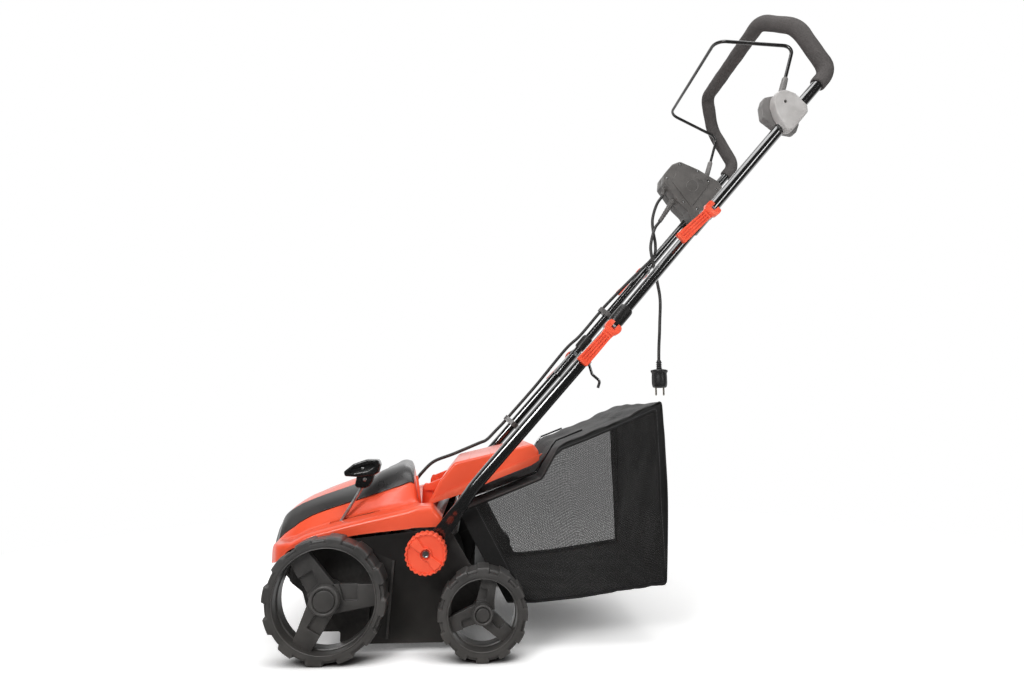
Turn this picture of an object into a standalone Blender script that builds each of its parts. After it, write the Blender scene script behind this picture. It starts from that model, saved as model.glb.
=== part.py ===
"""Electric lawn scarifier with a folding handle, four wheels, knife drum and rear collecting bag.

Lengths are metres, +Z is up, -X is forward and the operator stands at +X. The x values below are
measured from the front wheel axis, and frameShift moves the whole object so that its bounding box
is centred on x = 0.
"""

import math

import bmesh
import bpy
import numpy as np
from mathutils import Matrix, Vector

# General fits and shifts
frameShift = -0.4045
gap = 0.0003
runGap = 0.0004

# Wheels and axles
wheelOuterY = 0.250
wheelInnerY = 0.2048
frontWheelR = 0.100
frontRimWall = 0.0175
frontLipR = frontWheelR - frontRimWall
frontHubR = 0.0245
frontAxle = (0.0, 0.100)
rearWheelR = 0.0745
rearRimWall = 0.0181
rearLipR = rearWheelR - rearRimWall
rearHubR = 0.017
rearAxle = (0.2575, 0.0745)
axleR = 0.005
treadStep = 0.003
pocketAngle = 14.3
pocketSlope = 1.5
spokeInset = 0.0125
spokeThick = 0.013
spokePocket = 0.006
capThick = 0.007

# Depth crank and its lever
crankPivot = (-0.040, 0.118)
crankArmY = 0.1935
crankArmThick = 0.006
leverY = -0.150
rodR = 0.003
rodFoot = (-0.0522, 0.118)
rodTop = (0.036, 0.268)

# Deck
deckY = 0.190
wall = 0.003
knobPivot = (0.162, 0.170)
knobBossY = 0.199
drumAxis = (0.130, 0.086)
drumTipR = 0.078
tunnelR = 0.086
chamberY = 0.158
motorAxis = (0.030, 0.185)
motorR = 0.045
motorEnd = 0.126
motorPulleyR = 0.014
drumPulleyR = 0.028
beltThick = 0.002
beltY = (0.164, 0.178)

# Handle tubes
lowerR = 0.011
middleR = 0.010
upperR = 0.011
tubeWall = 0.0012
lowerY = 0.220
middleY = 0.198
pressDepth = 0.002
flatY = 0.2024
flatHalfThick = 0.0031
flatHalfWide = 0.0135
lowerBolt = (0.486, 0.555)
upperBolt = (0.676, 0.777)
boltR = 0.003
camR = 0.0095
foamR = 0.0155

# Knobs
knobR = 0.035
knobOuterY = 0.245
knobNotches = 24

# Switch box, bail and its bracket
bailPivot = (0.828, 0.998)
bailR = 0.0035
bailArmY = 0.195
boxY = (0.172, 0.238)
bracketY = (0.203, 0.242)

# Rear flap and bag
flapY = 0.156
flapHinge = (0.150, 0.265)
bagY = 0.193
bagThick = 0.003
wireR = 0.002

# Cables
cableR = 0.0038
plugTop = (0.690, 0.537)
plugY = 0.165


def clear_scene():
    for obj in list(bpy.data.objects):
        bpy.data.objects.remove(obj, do_unlink=True)


def material(name, colour, metallic, roughness):
    mat = bpy.data.materials.new(name)
    mat.use_nodes = True
    shader = mat.node_tree.nodes["Principled BSDF"]
    shader.inputs["Base Color"].default_value = (*colour, 1.0)
    shader.inputs["Metallic"].default_value = metallic
    shader.inputs["Roughness"].default_value = roughness
    return mat


def new_object(name, mesh):
    obj = bpy.data.objects.new(name, mesh)
    bpy.context.scene.collection.objects.link(obj)
    return obj


def solid(name, points, faces):
    """Closed mesh from points and faces, with every face turned outward."""
    mesh = bpy.data.meshes.new(name)
    mesh.from_pydata([tuple(map(float, p)) for p in points], [], [tuple(f) for f in faces])
    work = bmesh.new()
    work.from_mesh(mesh)
    bmesh.ops.remove_doubles(work, verts=work.verts, dist=1e-6)
    bmesh.ops.recalc_face_normals(work, faces=work.faces)
    if work.calc_volume(signed=True) < 0:
        bmesh.ops.reverse_faces(work, faces=work.faces)
    work.to_mesh(mesh)
    work.free()
    return new_object(name, mesh)


def arc(centre, radius, start, end, count):
    """Points on a circle arc, angles in degrees."""
    turns = np.radians(np.linspace(start, end, count))
    return [(centre[0] + radius * math.cos(t), centre[1] + radius * math.sin(t)) for t in turns]


def circle(centre, radius, count=24):
    return arc(centre, radius, 0, 360 - 360 / count, count)


def swing(first, last, share):
    """Arm turned part of the way from first to last, at the length of first."""
    angle = first.angle(last)
    if angle < 1e-4:
        return first
    return (first * math.sin((1 - share) * angle) + last * math.sin(share * angle)) / math.sin(angle)


def rounded(corners, radius, count=4):
    """Closed outline with each corner replaced by an arc. radius is one number or one per corner."""
    radii = radius if isinstance(radius, (list, tuple)) else [radius] * len(corners)
    outline = []
    for i, corner in enumerate(corners):
        here = Vector(corner)
        before = (Vector(corners[i - 1]) - here).normalized()
        after = (Vector(corners[(i + 1) % len(corners)]) - here).normalized()
        half = before.angle(after) / 2
        if radii[i] <= 0 or half > 1.55:
            outline.append(tuple(here))
            continue
        reach = radii[i] / math.tan(half)
        centre = here + (before + after).normalized() * (radii[i] / math.sin(half))
        first = here + before * reach - centre
        last = here + after * reach - centre
        for step in range(count + 1):
            outline.append(tuple(centre + swing(first, last, step / count)))
    return outline


def prism(name, outline, low, high, place=None):
    """Outline in x and z extruded along y from low to high. place maps (x, y, z) to the final spot."""
    count = len(outline)
    points = [(x, low, z) for x, z in outline] + [(x, high, z) for x, z in outline]
    if place:
        points = [place(*p) for p in points]
    faces = [list(range(count)), list(range(count, 2 * count))[::-1]]
    for i in range(count):
        j = (i + 1) % count
        faces.append([i, i + count, j + count, j])
    return solid(name, points, faces)


def lathe(name, centre, profile, count=24):
    """Closed profile of (radius, y) turned about the y axis through centre."""
    points = []
    rings = []
    for radius, y in profile:
        if radius < 1e-6:
            rings.append([len(points)] * count)
            points.append((centre[0], y, centre[1]))
            continue
        rings.append(list(range(len(points), len(points) + count)))
        for k in range(count):
            t = 2 * math.pi * k / count
            points.append((centre[0] + radius * math.cos(t), y, centre[1] + radius * math.sin(t)))
    faces = []
    closed = profile[0][0] > 1e-6
    pairs = [(i, (i + 1) % len(rings)) for i in range(len(rings) if closed else len(rings) - 1)]
    for i, j in pairs:
        for k in range(count):
            m = (k + 1) % count
            face = [rings[i][k], rings[i][m], rings[j][m], rings[j][k]]
            face = list(dict.fromkeys(face))
            if len(face) > 2:
                faces.append(face)
    return solid(name, points, faces)


def frames(path):
    """Tangent, side and up vectors along a path, carried without twist."""
    tangents = []
    for i in range(len(path)):
        ahead = path[min(i + 1, len(path) - 1)] - path[i]
        behind = path[i] - path[max(i - 1, 0)]
        ahead = ahead.normalized() if ahead.length > 0 else behind.normalized()
        behind = behind.normalized() if behind.length > 0 else ahead
        tangents.append((ahead + behind).normalized())
    side = Vector((0, 1, 0)) if abs(tangents[0][1]) < 0.9 else Vector((1, 0, 0))
    result = []
    for t in tangents:
        side = (side - t * side.dot(t)).normalized()
        result.append((t, side, side.cross(t).normalized()))
    return result


def fillet_path(corners, radii, count=5):
    """3-D polyline with its inner corners rounded."""
    corners = [Vector(c) for c in corners]
    path = [corners[0]]
    for i in range(1, len(corners) - 1):
        here = corners[i]
        before = (corners[i - 1] - here).normalized()
        after = (corners[i + 1] - here).normalized()
        half = before.angle(after) / 2
        if radii[i - 1] <= 0 or half > 1.55:
            path.append(here)
            continue
        reach = radii[i - 1] / math.tan(half)
        centre = here + (before + after).normalized() * (radii[i - 1] / math.sin(half))
        first = here + before * reach - centre
        last = here + after * reach - centre
        for step in range(count + 1):
            path.append(centre + swing(first, last, step / count))
    path.append(corners[-1])
    return path


def tube(name, path, outer, inner=0.0, count=12, shape=None):
    """Round bar or open-ended tube along a path. shape(i, side, up, radius) may reshape a ring."""
    path = [Vector(p) for p in path]
    rows = frames(path)
    points = []
    for radius in (outer, inner):
        if radius <= 0:
            continue
        for i, (_, side, up) in enumerate(rows):
            for k in range(count):
                t = 2 * math.pi * k / count
                a, b = radius * math.cos(t), radius * math.sin(t)
                if shape:
                    a, b = shape(i, a, b, outer - radius)
                points.append(path[i] + side * a + up * b)
    total = len(path)
    faces = []
    for shell in range(2 if inner > 0 else 1):
        base = shell * total * count
        for i in range(total - 1):
            for k in range(count):
                m = (k + 1) % count
                face = [base + i * count + k, base + i * count + m]
                face += [base + (i + 1) * count + m, base + (i + 1) * count + k]
                faces.append(face)
    for end in (0, total - 1):
        ring = [end * count + k for k in range(count)]
        if inner <= 0:
            faces.append(ring)
            continue
        back = [total * count + v for v in ring]
        for k in range(count):
            m = (k + 1) % count
            faces.append([ring[k], ring[m], back[m], back[k]])
    return solid(name, points, faces)


def combine(target, tool, operation):
    """Exact Boolean of tool into target. The tool is used up."""
    modifier = target.modifiers.new("combine", "BOOLEAN")
    modifier.operation = operation
    modifier.solver = "EXACT"
    modifier.object = tool
    graph = bpy.context.evaluated_depsgraph_get()
    mesh = bpy.data.meshes.new_from_object(target.evaluated_get(graph))
    target.modifiers.clear()
    target.data = mesh
    bpy.data.objects.remove(tool, do_unlink=True)
    return target


def cut(target, *tools):
    for tool in tools:
        combine(target, tool, "DIFFERENCE")
    return target


def fuse(target, *tools):
    for tool in tools:
        combine(target, tool, "UNION")
    return target


def bevel(target, width, angle=40):
    """Small rounded edges on every edge sharper than angle."""
    modifier = target.modifiers.new("edge", "BEVEL")
    modifier.width = width
    modifier.segments = 1
    modifier.limit_method = "ANGLE"
    modifier.angle_limit = math.radians(angle)
    graph = bpy.context.evaluated_depsgraph_get()
    mesh = bpy.data.meshes.new_from_object(target.evaluated_get(graph))
    target.modifiers.clear()
    target.data = mesh
    return target


def mirrored(source, name):
    """Copy of a piece on the other side of the y = 0 plane."""
    mesh = source.data.copy()
    mesh.transform(Matrix.Diagonal((1, -1, 1, 1)))
    mesh.flip_normals()
    return new_object(name, mesh)


def tidy(obj, name, mat, origin):
    """Final name, material, smooth shading and an origin on the joint axis."""
    obj.name = name
    obj.data.name = name
    obj.data.materials.clear()
    obj.data.materials.append(mat)
    if obj.type == "MESH":
        work = bmesh.new()
        work.from_mesh(obj.data)
        bmesh.ops.dissolve_degenerate(work, edges=work.edges, dist=1e-6)
        work.to_mesh(obj.data)
        work.free()
        for polygon in obj.data.polygons:
            polygon.material_index = 0
        obj.data.shade_smooth()
        obj.data.set_sharp_from_angle(angle=math.radians(35))
        obj.data.transform(Matrix.Translation(-Vector(origin)))
        obj.location = Vector(origin) + Vector((frameShift, 0, 0))
    return obj


def pair(near, name, mat, origin):
    """The near piece and its mirror image on the far side, both finished."""
    far = mirrored(near, name + "_far")
    tidy(far, name + "_far", mat, (origin[0], -origin[1], origin[2]))
    tidy(near, name + "_near", mat, origin)


def turned(outline, centre, angle):
    """Outline given along and across an arm, moved to the centre and turned to the arm's angle."""
    t = math.radians(angle)
    return [(centre[0] + s * math.cos(t) - w * math.sin(t), centre[1] + s * math.sin(t) + w * math.cos(t))
            for s, w in outline]


def wheel(name, centre, radius, lip, hub, blocks, spokes, arm, pocket):
    """Moulded wheel: blocks and pockets round a deep barrel rim, three spokes with open pockets, a hub.

    The flat of each block lies at the given radius, and one block stands level on the ground.
    """
    inner, outer = wheelInnerY, wheelOuterY
    span = 360 / blocks
    corner = radius / math.cos(math.radians((span - pocketAngle) / 2))
    section = [
        (corner, inner),
        (corner, outer - 0.0015),
        (radius - 0.0015 - treadStep, outer),
        (lip, outer),
        (lip, inner),
    ]
    floor = pocketAngle / 2 - pocketSlope
    angles = []
    for i in range(blocks):
        middle = 270 + (i + 0.5) * span
        angles += [(middle - floor, 0), (middle + floor, 0)]
        angles += [(middle + pocketAngle / 2, 1), (middle + span - pocketAngle / 2, 1)]
    points = []
    for angle, raised in angles:
        t = math.radians(angle)
        for j, (r, y) in enumerate(section):
            if j < 2 and not raised:
                r -= treadStep
            points.append((centre[0] + r * math.cos(t), -y, centre[1] + r * math.sin(t)))
    rows, columns = len(angles), len(section)
    faces = []
    for i in range(rows):
        for j in range(columns):
            a, b = (i + 1) % rows, (j + 1) % columns
            faces.append([i * columns + j, i * columns + b, a * columns + b, a * columns + j])
    ring = solid(name, points, faces)
    star = prism(name + "_hub", circle(centre, hub, 16), -outer + capThick + gap, -inner)
    face = -outer + spokeInset
    for angle in spokes:
        fuse(star, prism(name + "_arm", turned(arm, centre, angle), face, face + spokeThick))
    fuse(star, ring)
    for angle in spokes:
        cut(star, prism(name + "_pocket", turned(pocket, centre, angle), face - 0.004, face + spokePocket))
    bore = prism(name + "_bore", circle(centre, axleR + runGap, 12), -outer, -inner + 0.01)
    socket = prism(name + "_socket", circle(centre, hub * 0.62, 16), -outer, -outer + 0.016)
    cut(star, bore, socket)
    return star


def hub_cap(name, centre, hub):
    """Push-on cap with a raised centre disc, a groove round it and a plug in the hub."""
    face = -wheelOuterY
    profile = [
        (0, face + 0.0010),
        (hub * 0.72, face + 0.0010),
        (hub * 0.78, face + 0.0026),
        (hub * 0.84, face),
        (hub, face + 0.0006),
        (hub, face + capThick),
        (hub * 0.62 - gap, face + capThick),
        (hub * 0.62 - gap, face + 0.0145),
        (0, face + 0.0145),
    ]
    return lathe(name, centre, profile, 16)


def build_wheels(plastic, cap):
    lip, hub = frontLipR, frontHubR
    arm = [(0.008, -0.0240), (lip + 0.002, -0.0100), (lip + 0.002, 0.0229), (0.008, 0.0229)]
    pocket = [(hub + 0.003, -0.0025), (lip - 0.0305, -0.0025), (lip - 0.0305, 0.0240), (hub - 0.004, 0.0240)]
    front = wheel("front_wheel", frontAxle, frontWheelR, lip, hub, 12, (0, 120, 240), arm, pocket)
    origin = (frontAxle[0], -0.227, frontAxle[1])
    pair(front, "front_wheel", plastic, origin)
    pair(hub_cap("front_cap", frontAxle, hub), "front_hub_cap", cap, origin)
    lip, hub = rearLipR, rearHubR
    arm = [(0.006, -0.0165), (lip + 0.002, -0.0132), (lip + 0.002, 0.0114), (0.006, 0.0142)]
    pocket = [(hub + 0.003, -0.0015), (lip - 0.018, -0.0015), (lip - 0.018, 0.0150), (hub - 0.001, 0.0150)]
    rear = wheel("rear_wheel", rearAxle, rearWheelR, lip, hub, 12, (80, 200, 319), arm, pocket)
    origin = (rearAxle[0], -0.227, rearAxle[1])
    pair(rear, "rear_wheel", plastic, origin)
    pair(hub_cap("rear_cap", rearAxle, hub), "rear_hub_cap", cap, origin)


def rod_along_y(name, centre, radius, low, high, count=12):
    return prism(name, circle(centre, radius, count), low, high)


def capsule(a, b, ra, rb, count=6):
    """Outline round two circles of different size."""
    a, b = Vector(a), Vector(b)
    heading = math.degrees(math.atan2(b[1] - a[1], b[0] - a[0]))
    lean = math.degrees(math.acos(max(-1, min(1, (ra - rb) / (b - a).length))))
    outline = arc(b, rb, heading - lean, heading + lean, count)
    outline += arc(a, ra, heading + lean, heading + 360 - lean, count)
    return outline


def build_axles(steel, zinc, grip):
    ends = wheelOuterY - 0.0152
    crank = rod_along_y("front_crank_axle", crankPivot, axleR, -crankArmY - 0.003, crankArmY + 0.003)
    for side in (-1, 1):
        y0, y1 = sorted((side * crankArmY, side * (crankArmY + crankArmThick)))
        fuse(crank, prism("arm", capsule(crankPivot, frontAxle, 0.009, 0.009), y0, y1))
        y0, y1 = sorted((side * (crankArmY + 0.002), side * ends))
        fuse(crank, rod_along_y("stub", frontAxle, axleR, y0, y1))
    up = (Vector(rodTop) - Vector(rodFoot)).normalized()
    lugEnd = Vector(rodFoot) + up * 0.016
    fuse(crank, prism("lug", capsule(crankPivot, lugEnd, 0.010, 0.0075), leverY - 0.008, leverY + 0.008))
    foot = Vector((rodFoot[0], leverY, rodFoot[1]))
    top = Vector((rodTop[0], leverY, rodTop[1]))
    heading = (top - foot).normalized()
    start = foot + heading * 0.004
    cut(crank, tube("hole", [start, start + heading * 0.05], rodR + gap, count=12))
    origin = (crankPivot[0], 0, crankPivot[1])
    tidy(crank, "front_crank_axle", steel, origin)
    rod = tube("depth_rod", [start + heading * gap, top + heading * 0.016], rodR, count=12)
    tidy(rod, "depth_rod", zinc, origin)
    handle = depth_grip(top, heading)
    tidy(handle, "depth_grip", grip, origin)
    rear = rod_along_y("rear_axle", rearAxle, axleR, -ends, ends)
    tidy(rear, "rear_axle", steel, (rearAxle[0], 0, rearAxle[1]))


def depth_grip(top, heading):
    """T grip: tapered cross bar with an oval recess on its outer side, on a short stem."""
    bar = [(0.009, 0.2870), (0.0655, 0.2950), (0.0705, 0.3005), (0.0690, 0.3175), (0.0620, 0.3185),
           (0.004, 0.3040), (-0.001, 0.2985), (0.0005, 0.2900)]
    handle = prism("depth_grip", rounded(bar, 0.0035, 2), leverY - 0.011, leverY + 0.011)
    stem = tube("stem", [top - heading * 0.012, top + heading * 0.030], 0.0075, count=12)
    fuse(handle, stem)
    recess = [(0.014, 0.2925), (0.060, 0.2995), (0.062, 0.3090), (0.016, 0.3010)]
    cut(handle, prism("recess", rounded(recess, 0.003, 2), leverY - 0.012, leverY - 0.005))
    cut(handle, tube("bore", [top - heading * 0.02, top + heading * (0.016 + gap)], rodR + gap, count=12))
    return handle


def knife(name, y, turn):
    """Two-armed scarifying knife of 2.5 mm plate: each arm hooks forward and ends in a point."""
    half = [(0.016, 0.012), (0.045, 0.0095), (drumTipR, 0.0150), (0.070, 0.002), (0.045, -0.0095),
            (0.016, -0.012)]
    outline = half + [(-x, -z) for x, z in half]
    scale = drumTipR / math.hypot(drumTipR, 0.0150)
    outline = [(x * scale, z * scale) for x, z in outline]
    return prism(name, turned(outline, drumAxis, turn), y - 0.00125, y + 0.00125)


def build_drum(steel, pulleyMetal, bearingMetal, rubber):
    """Knife drum: stepped shaft, tube and fourteen knives set in a helix."""
    y0, y1 = -0.1700, 0.1450
    profile = [
        (0, -0.1860), (0.0075, -0.1860), (0.0075, -0.1760), (0.011, -0.1760), (0.011, y0),
        (0.021, y0), (0.021, y1), (0.011, y1), (0.011, 0.1465), (0.0075, 0.1465),
        (0.0075, beltY[1] + 0.0025), (0, beltY[1] + 0.0025),
    ]
    drum = lathe("knife_drum", drumAxis, profile, 14)
    for i in range(14):
        fuse(drum, knife("knife", -0.158 + i * 0.0222, 12 + i * 51.4))
    origin = (drumAxis[0], 0, drumAxis[1])
    tidy(drum, "knife_drum", steel, origin)
    big = pulley("drum_pulley", drumAxis, drumPulleyR, 0.0075 + gap)
    tidy(big, "drum_pulley", pulleyMetal, origin)
    small = pulley("motor_pulley", motorAxis, motorPulleyR, 0.0)
    shaft = rod_along_y("shaft", motorAxis, 0.005, motorEnd - 0.022, beltY[0] + 0.004)
    fuse(small, shaft)
    tidy(small, "motor_rotor", pulleyMetal, (motorAxis[0], 0, motorAxis[1]))
    reach = beltThick + 3 * gap
    outer = capsule(motorAxis, drumAxis, motorPulleyR + reach, drumPulleyR + reach, 10)
    inner = capsule(motorAxis, drumAxis, motorPulleyR + 3 * gap, drumPulleyR + 3 * gap, 10)
    belt = prism("drive_belt", outer, beltY[0] + 0.0025, beltY[1] - 0.0025)
    cut(belt, prism("inside", inner, beltY[0], beltY[1]))
    tidy(belt, "drive_belt", rubber, origin)
    near = bearing("near", -deckY + wall + gap, -0.1763)
    tidy(near, "drum_bearing_near", bearingMetal, origin)
    far = bearing("far", 0.1468, chamberY - gap)
    tidy(far, "drum_bearing_far", bearingMetal, origin)


def pulley(name, centre, radius, bore):
    """Flanged belt pulley."""
    rim = radius + 0.003
    low, high = beltY
    flange = 0.0018
    if bore:
        profile = [(bore, low), (rim, low), (rim, low + flange), (radius, low + flange),
                   (radius, high - flange), (rim, high - flange), (rim, high), (bore, high)]
    else:
        profile = [(0, low), (rim, low), (rim, low + flange), (radius, low + flange),
                   (radius, high - flange), (rim, high - flange), (rim, high), (0, high)]
    return lathe(name, centre, profile, 18)


def bearing(name, low, high):
    """Ball bearing drawn as one closed ring."""
    ring = 0.0075 + gap
    profile = [(ring, low), (0.017, low), (0.017, high), (ring, high)]
    return lathe(name, drumAxis, profile, 16)


def build_motor(metal):
    """Finned motor can with end shields, lying across the deck above the knife tunnel."""
    y0, y1 = -0.060, motorEnd
    profile = [(0, y0), (0.026, y0), (0.034, y0 + 0.012), (motorR, y0 + 0.014)]
    fins = 2
    for i in range(fins):
        at = y0 + 0.024 + i * (y1 - y0 - 0.050) / fins
        profile += [(motorR, at), (motorR - 0.003, at + 0.002), (motorR - 0.003, at + 0.008),
                    (motorR, at + 0.010)]
    profile += [(motorR, y1 - 0.014), (0.034, y1 - 0.012), (0.018, y1), (0, y1)]
    can = lathe("motor_body", motorAxis, profile, 16)
    cut(can, rod_along_y("bore", motorAxis, 0.005 + runGap, y1 - 0.024, y1 + 0.01))
    for x in (-0.028, 0.010):
        foot = [(motorAxis[0] + x - 0.007, 0.128), (motorAxis[0] + x + 0.007, 0.128),
                (motorAxis[0] + x * 0.8 + 0.006, 0.160), (motorAxis[0] + x * 0.8 - 0.006, 0.160)]
        fuse(can, prism("foot", foot, -0.030, 0.085))
    tidy(can, "motor_body", metal, (motorAxis[0], 0, motorAxis[1]))


def deck_outline():
    """Side view of the deck: front skirt, wheel cut-away, side skirt and rear axle arm."""
    return [(-0.112, 0.1475), (-0.108, 0.172), (0.021, 0.1855), (0.165, 0.2015),
            (0.203, 0.1945), (0.235, 0.142), (0.278, 0.100), (0.278, 0.056),
            (0.262, 0.050), (0.222, 0.050), (0.190, 0.014), (0.016, 0.014), (0.016, 0.035),
            (-0.030, 0.035), (-0.050, 0.100)]


def build_deck(plastic):
    radii = [0.002, 0.010, 0, 0.010, 0.006, 0.02, 0.014, 0.012, 0.012, 0.03, 0.006, 0.006, 0.003,
             0.012, 0.012]
    deck = prism("deck_housing", rounded(deck_outline(), radii, 2), -deckY, deckY)
    room = [(-0.125, 0.120), (-0.109, 0.150), (-0.1045, 0.2), (0.0, 0.23), (0.300, 0.23),
            (0.300, 0.108), (0.242, 0.108), (0.229, 0.060), (0.205, -0.02), (-0.080, -0.02)]
    cut(deck, prism("room", room, -deckY + wall, deckY - wall))
    skirt = [(-0.110, 0.1475), (-0.104, 0.172), (-0.100, 0.172), (-0.106, 0.1475)]
    fuse(deck, prism("skirt", skirt, -deckY + 0.001, deckY - 0.001))
    roofOuter = arc(drumAxis, tunnelR + wall, 196, 62, 9) + [(0.212, 0.200)]
    roofInner = [(0.2135, 0.1965)] + arc(drumAxis, tunnelR, 60, 196, 9)
    fuse(deck, prism("roof", roofOuter + roofInner, -deckY + 0.001, deckY - 0.001))
    rest = arc(drumAxis, tunnelR + 0.001, 200, 10, 12) + [(0.222, 0.060), (0.200, 0.020), (0.052, 0.020)]
    fuse(deck, prism("chamber", rest, chamberY, chamberY + wall))
    shelf = [(-0.052, 0.1235), (0.060, 0.1235), (0.060, 0.1277), (-0.049, 0.1277)]
    fuse(deck, prism("shelf", shelf, -deckY + 0.001, deckY - 0.001))
    front = [(-0.110, 0.150), (-0.050, 0.1015), (-0.047, 0.1045), (-0.107, 0.153)]
    fuse(deck, prism("pan", front, -deckY + 0.001, deckY - 0.001))
    channel = [(-0.080, 0.085), (-0.008, 0.085), (-0.008, 0.150), (-0.080, 0.150)]
    cut(deck, prism("lever channel", channel, leverY - 0.0105, leverY + 0.0105))
    for side in (-1, 1):
        y0, y1 = sorted((side * (deckY - 0.001), side * knobBossY))
        fuse(deck, prism("boss", circle(knobPivot, 0.019, 14), y0, y1))
        y0, y1 = sorted((side * (deckY - 0.001), side * (deckY + 0.0028)))
        for x in (0.060, 0.095):
            rib = [(x - 0.002, 0.022), (x + 0.002, 0.022), (x + 0.010, 0.150), (x + 0.006, 0.150)]
            fuse(deck, prism("rib", rib, y0, y1))
        y0, y1 = sorted((side * (deckY - 0.012), side * (knobBossY + 0.01)))
        cut(deck, rod_along_y("knob hole", knobPivot, 0.004 + runGap, y0, y1))
        low, high = sorted((side * 0.168, side * (deckY - wall)))
        cut(deck, rod_along_y("bolt pocket", knobPivot, 0.0115, low, high))
        corner = [(-0.068, side * 0.200), (-0.068, side * 0.190), (-0.101, side * 0.172),
                  (-0.108, side * 0.163), (-0.118, side * 0.148), (-0.135, side * 0.148),
                  (-0.135, side * 0.200)]
        cut(deck, prism("corner", corner, 0.08, 0.20, lambda x, h, y: (x, y, h)))
        plate = [(-0.064, side * 0.1895), (-0.101, side * 0.172), (-0.1085, side * 0.162),
                 (-0.1050, side * 0.160), (-0.099, side * 0.169), (-0.064, side * 0.1865)]
        fuse(deck, prism("corner plate", plate, 0.150, 0.171, lambda x, h, y: (x, y, h)))
        cut(deck, rod_along_y("crank hole", crankPivot, axleR + runGap, y0, y1))
        cut(deck, rod_along_y("axle hole", rearAxle, axleR + gap, y0, y1))
    cut(deck, rod_along_y("axle bore", rearAxle, axleR + gap, -deckY, deckY))
    cut(deck, rod_along_y("shaft hole", drumAxis, 0.009, chamberY - 0.01, chamberY + 0.01))
    belted = capsule(motorAxis, drumAxis, motorPulleyR + 0.008, drumPulleyR + 0.008, 8)
    cut(deck, prism("belt slot", belted, chamberY + wall, beltY[1] + 0.006))
    tidy(deck, "deck_housing", plastic, (0, 0, 0))


def hood_rows():
    """Stations of the hood from nose to rear: x, side edge z, ledge outer z, ledge inner z, band lower
    (y, z), band upper (y, z), crown z, and the outer half width of the side and of the ledge."""
    return [
        (-0.1290, 0.1470, 0.1475, 0.1479, 0.088, 0.1483, 0.068, 0.1486, 0.1488, 0.098, 0.095),
        (-0.1280, 0.1470, 0.1600, 0.1640, 0.096, 0.1690, 0.077, 0.1800, 0.1860, 0.112, 0.108),
        (-0.1190, 0.150, 0.176, 0.181, 0.113, 0.187, 0.095, 0.209, 0.216, 0.158, 0.152),
        (-0.1030, 0.162, 0.184, 0.188, 0.121, 0.194, 0.099, 0.222, 0.230, 0.180, 0.174),
        (-0.0740, 0.178, 0.190, 0.193, 0.126, 0.203, 0.098, 0.237, 0.244, 0.195, 0.188),
        (-0.0400, 0.181, 0.195, 0.199, 0.128, 0.219, 0.092, 0.250, 0.258, 0.196, 0.189),
        (0.0000, 0.184, 0.203, 0.207, 0.128, 0.237, 0.080, 0.264, 0.2735, 0.196, 0.189),
        (0.0500, 0.189, 0.213, 0.217, 0.127, 0.254, 0.034, 0.284, 0.2870, 0.196, 0.189),
        (0.0600, 0.190, 0.215, 0.219, 0.126, 0.258, 0.016, 0.291, 0.2925, 0.196, 0.189),
        (0.0780, 0.192, 0.218, 0.222, 0.125, 0.264, 0.016, 0.299, 0.3015, 0.196, 0.189),
        (0.1050, 0.195, 0.224, 0.228, 0.123, 0.272, 0.016, 0.305, 0.3070, 0.196, 0.189),
        (0.1190, 0.196, 0.227, 0.231, 0.121, 0.275, 0.016, 0.292, 0.2935, 0.196, 0.189),
        (0.1280, 0.197, 0.229, 0.233, 0.120, 0.262, 0.016, 0.266, 0.2670, 0.196, 0.189),
        (0.1330, 0.198, 0.230, 0.234, 0.119, 0.2370, 0.016, 0.2380, 0.2385, 0.196, 0.189),
        (0.1650, 0.201, 0.236, 0.239, 0.119, 0.2395, 0.016, 0.2395, 0.2395, 0.196, 0.189),
        (0.1740, 0.206, 0.226, 0.228, 0.119, 0.228, 0.016, 0.228, 0.228, 0.195, 0.188),
    ]


bandDepth = 0.0027
hoodWall = 0.0025
bandRows = (2, 12)
bandColumns = (5, 8)


def hood_section(row):
    """Half section of the hood from side edge to crown, as (y, z)."""
    _, edge, outer, inner, y3, z3, y4, z4, crown, side, ledge = row
    start = y3 + 0.35 * (ledge - y3)
    points = [(side, edge), (side, outer - min(0.005, (outer - edge) * 0.4)), (ledge, outer)]
    points += [(start, inner), (y3 + 0.0006, z3)]
    for mix in (0.0, 0.35, 0.70, 1.0):
        swell = math.sin(math.pi * mix) * 0.10 * (y3 - y4)
        points.append((y3 + (y4 - y3) * mix + swell, z3 + (z4 - z3) * min(1, mix * 1.05) + swell * 0.55))
    points += [(y4 - 0.0006, z4), (0.0, crown)]
    return points


def hood_grid():
    """Points of the full hood surface, station by station from the left edge to the right one."""
    grid = []
    for row in hood_rows():
        half = hood_section(row)
        line = [(-y, z) for y, z in half] + [(y, z) for y, z in reversed(half[:-1])]
        grid.append([Vector((row[0], y, z)) for y, z in line])
    return grid


def grid_normals(grid):
    """Outward unit normals of a grid from its neighbouring points."""
    normals = []
    rows, columns = len(grid), len(grid[0])
    for i in range(rows):
        line = []
        for j in range(columns):
            down = grid[min(i + 1, rows - 1)][j] - grid[max(i - 1, 0)][j]
            over = grid[i][min(j + 1, columns - 1)] - grid[i][max(j - 1, 0)]
            line.append(down.cross(over).normalized())
        normals.append(line)
    return normals


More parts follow.
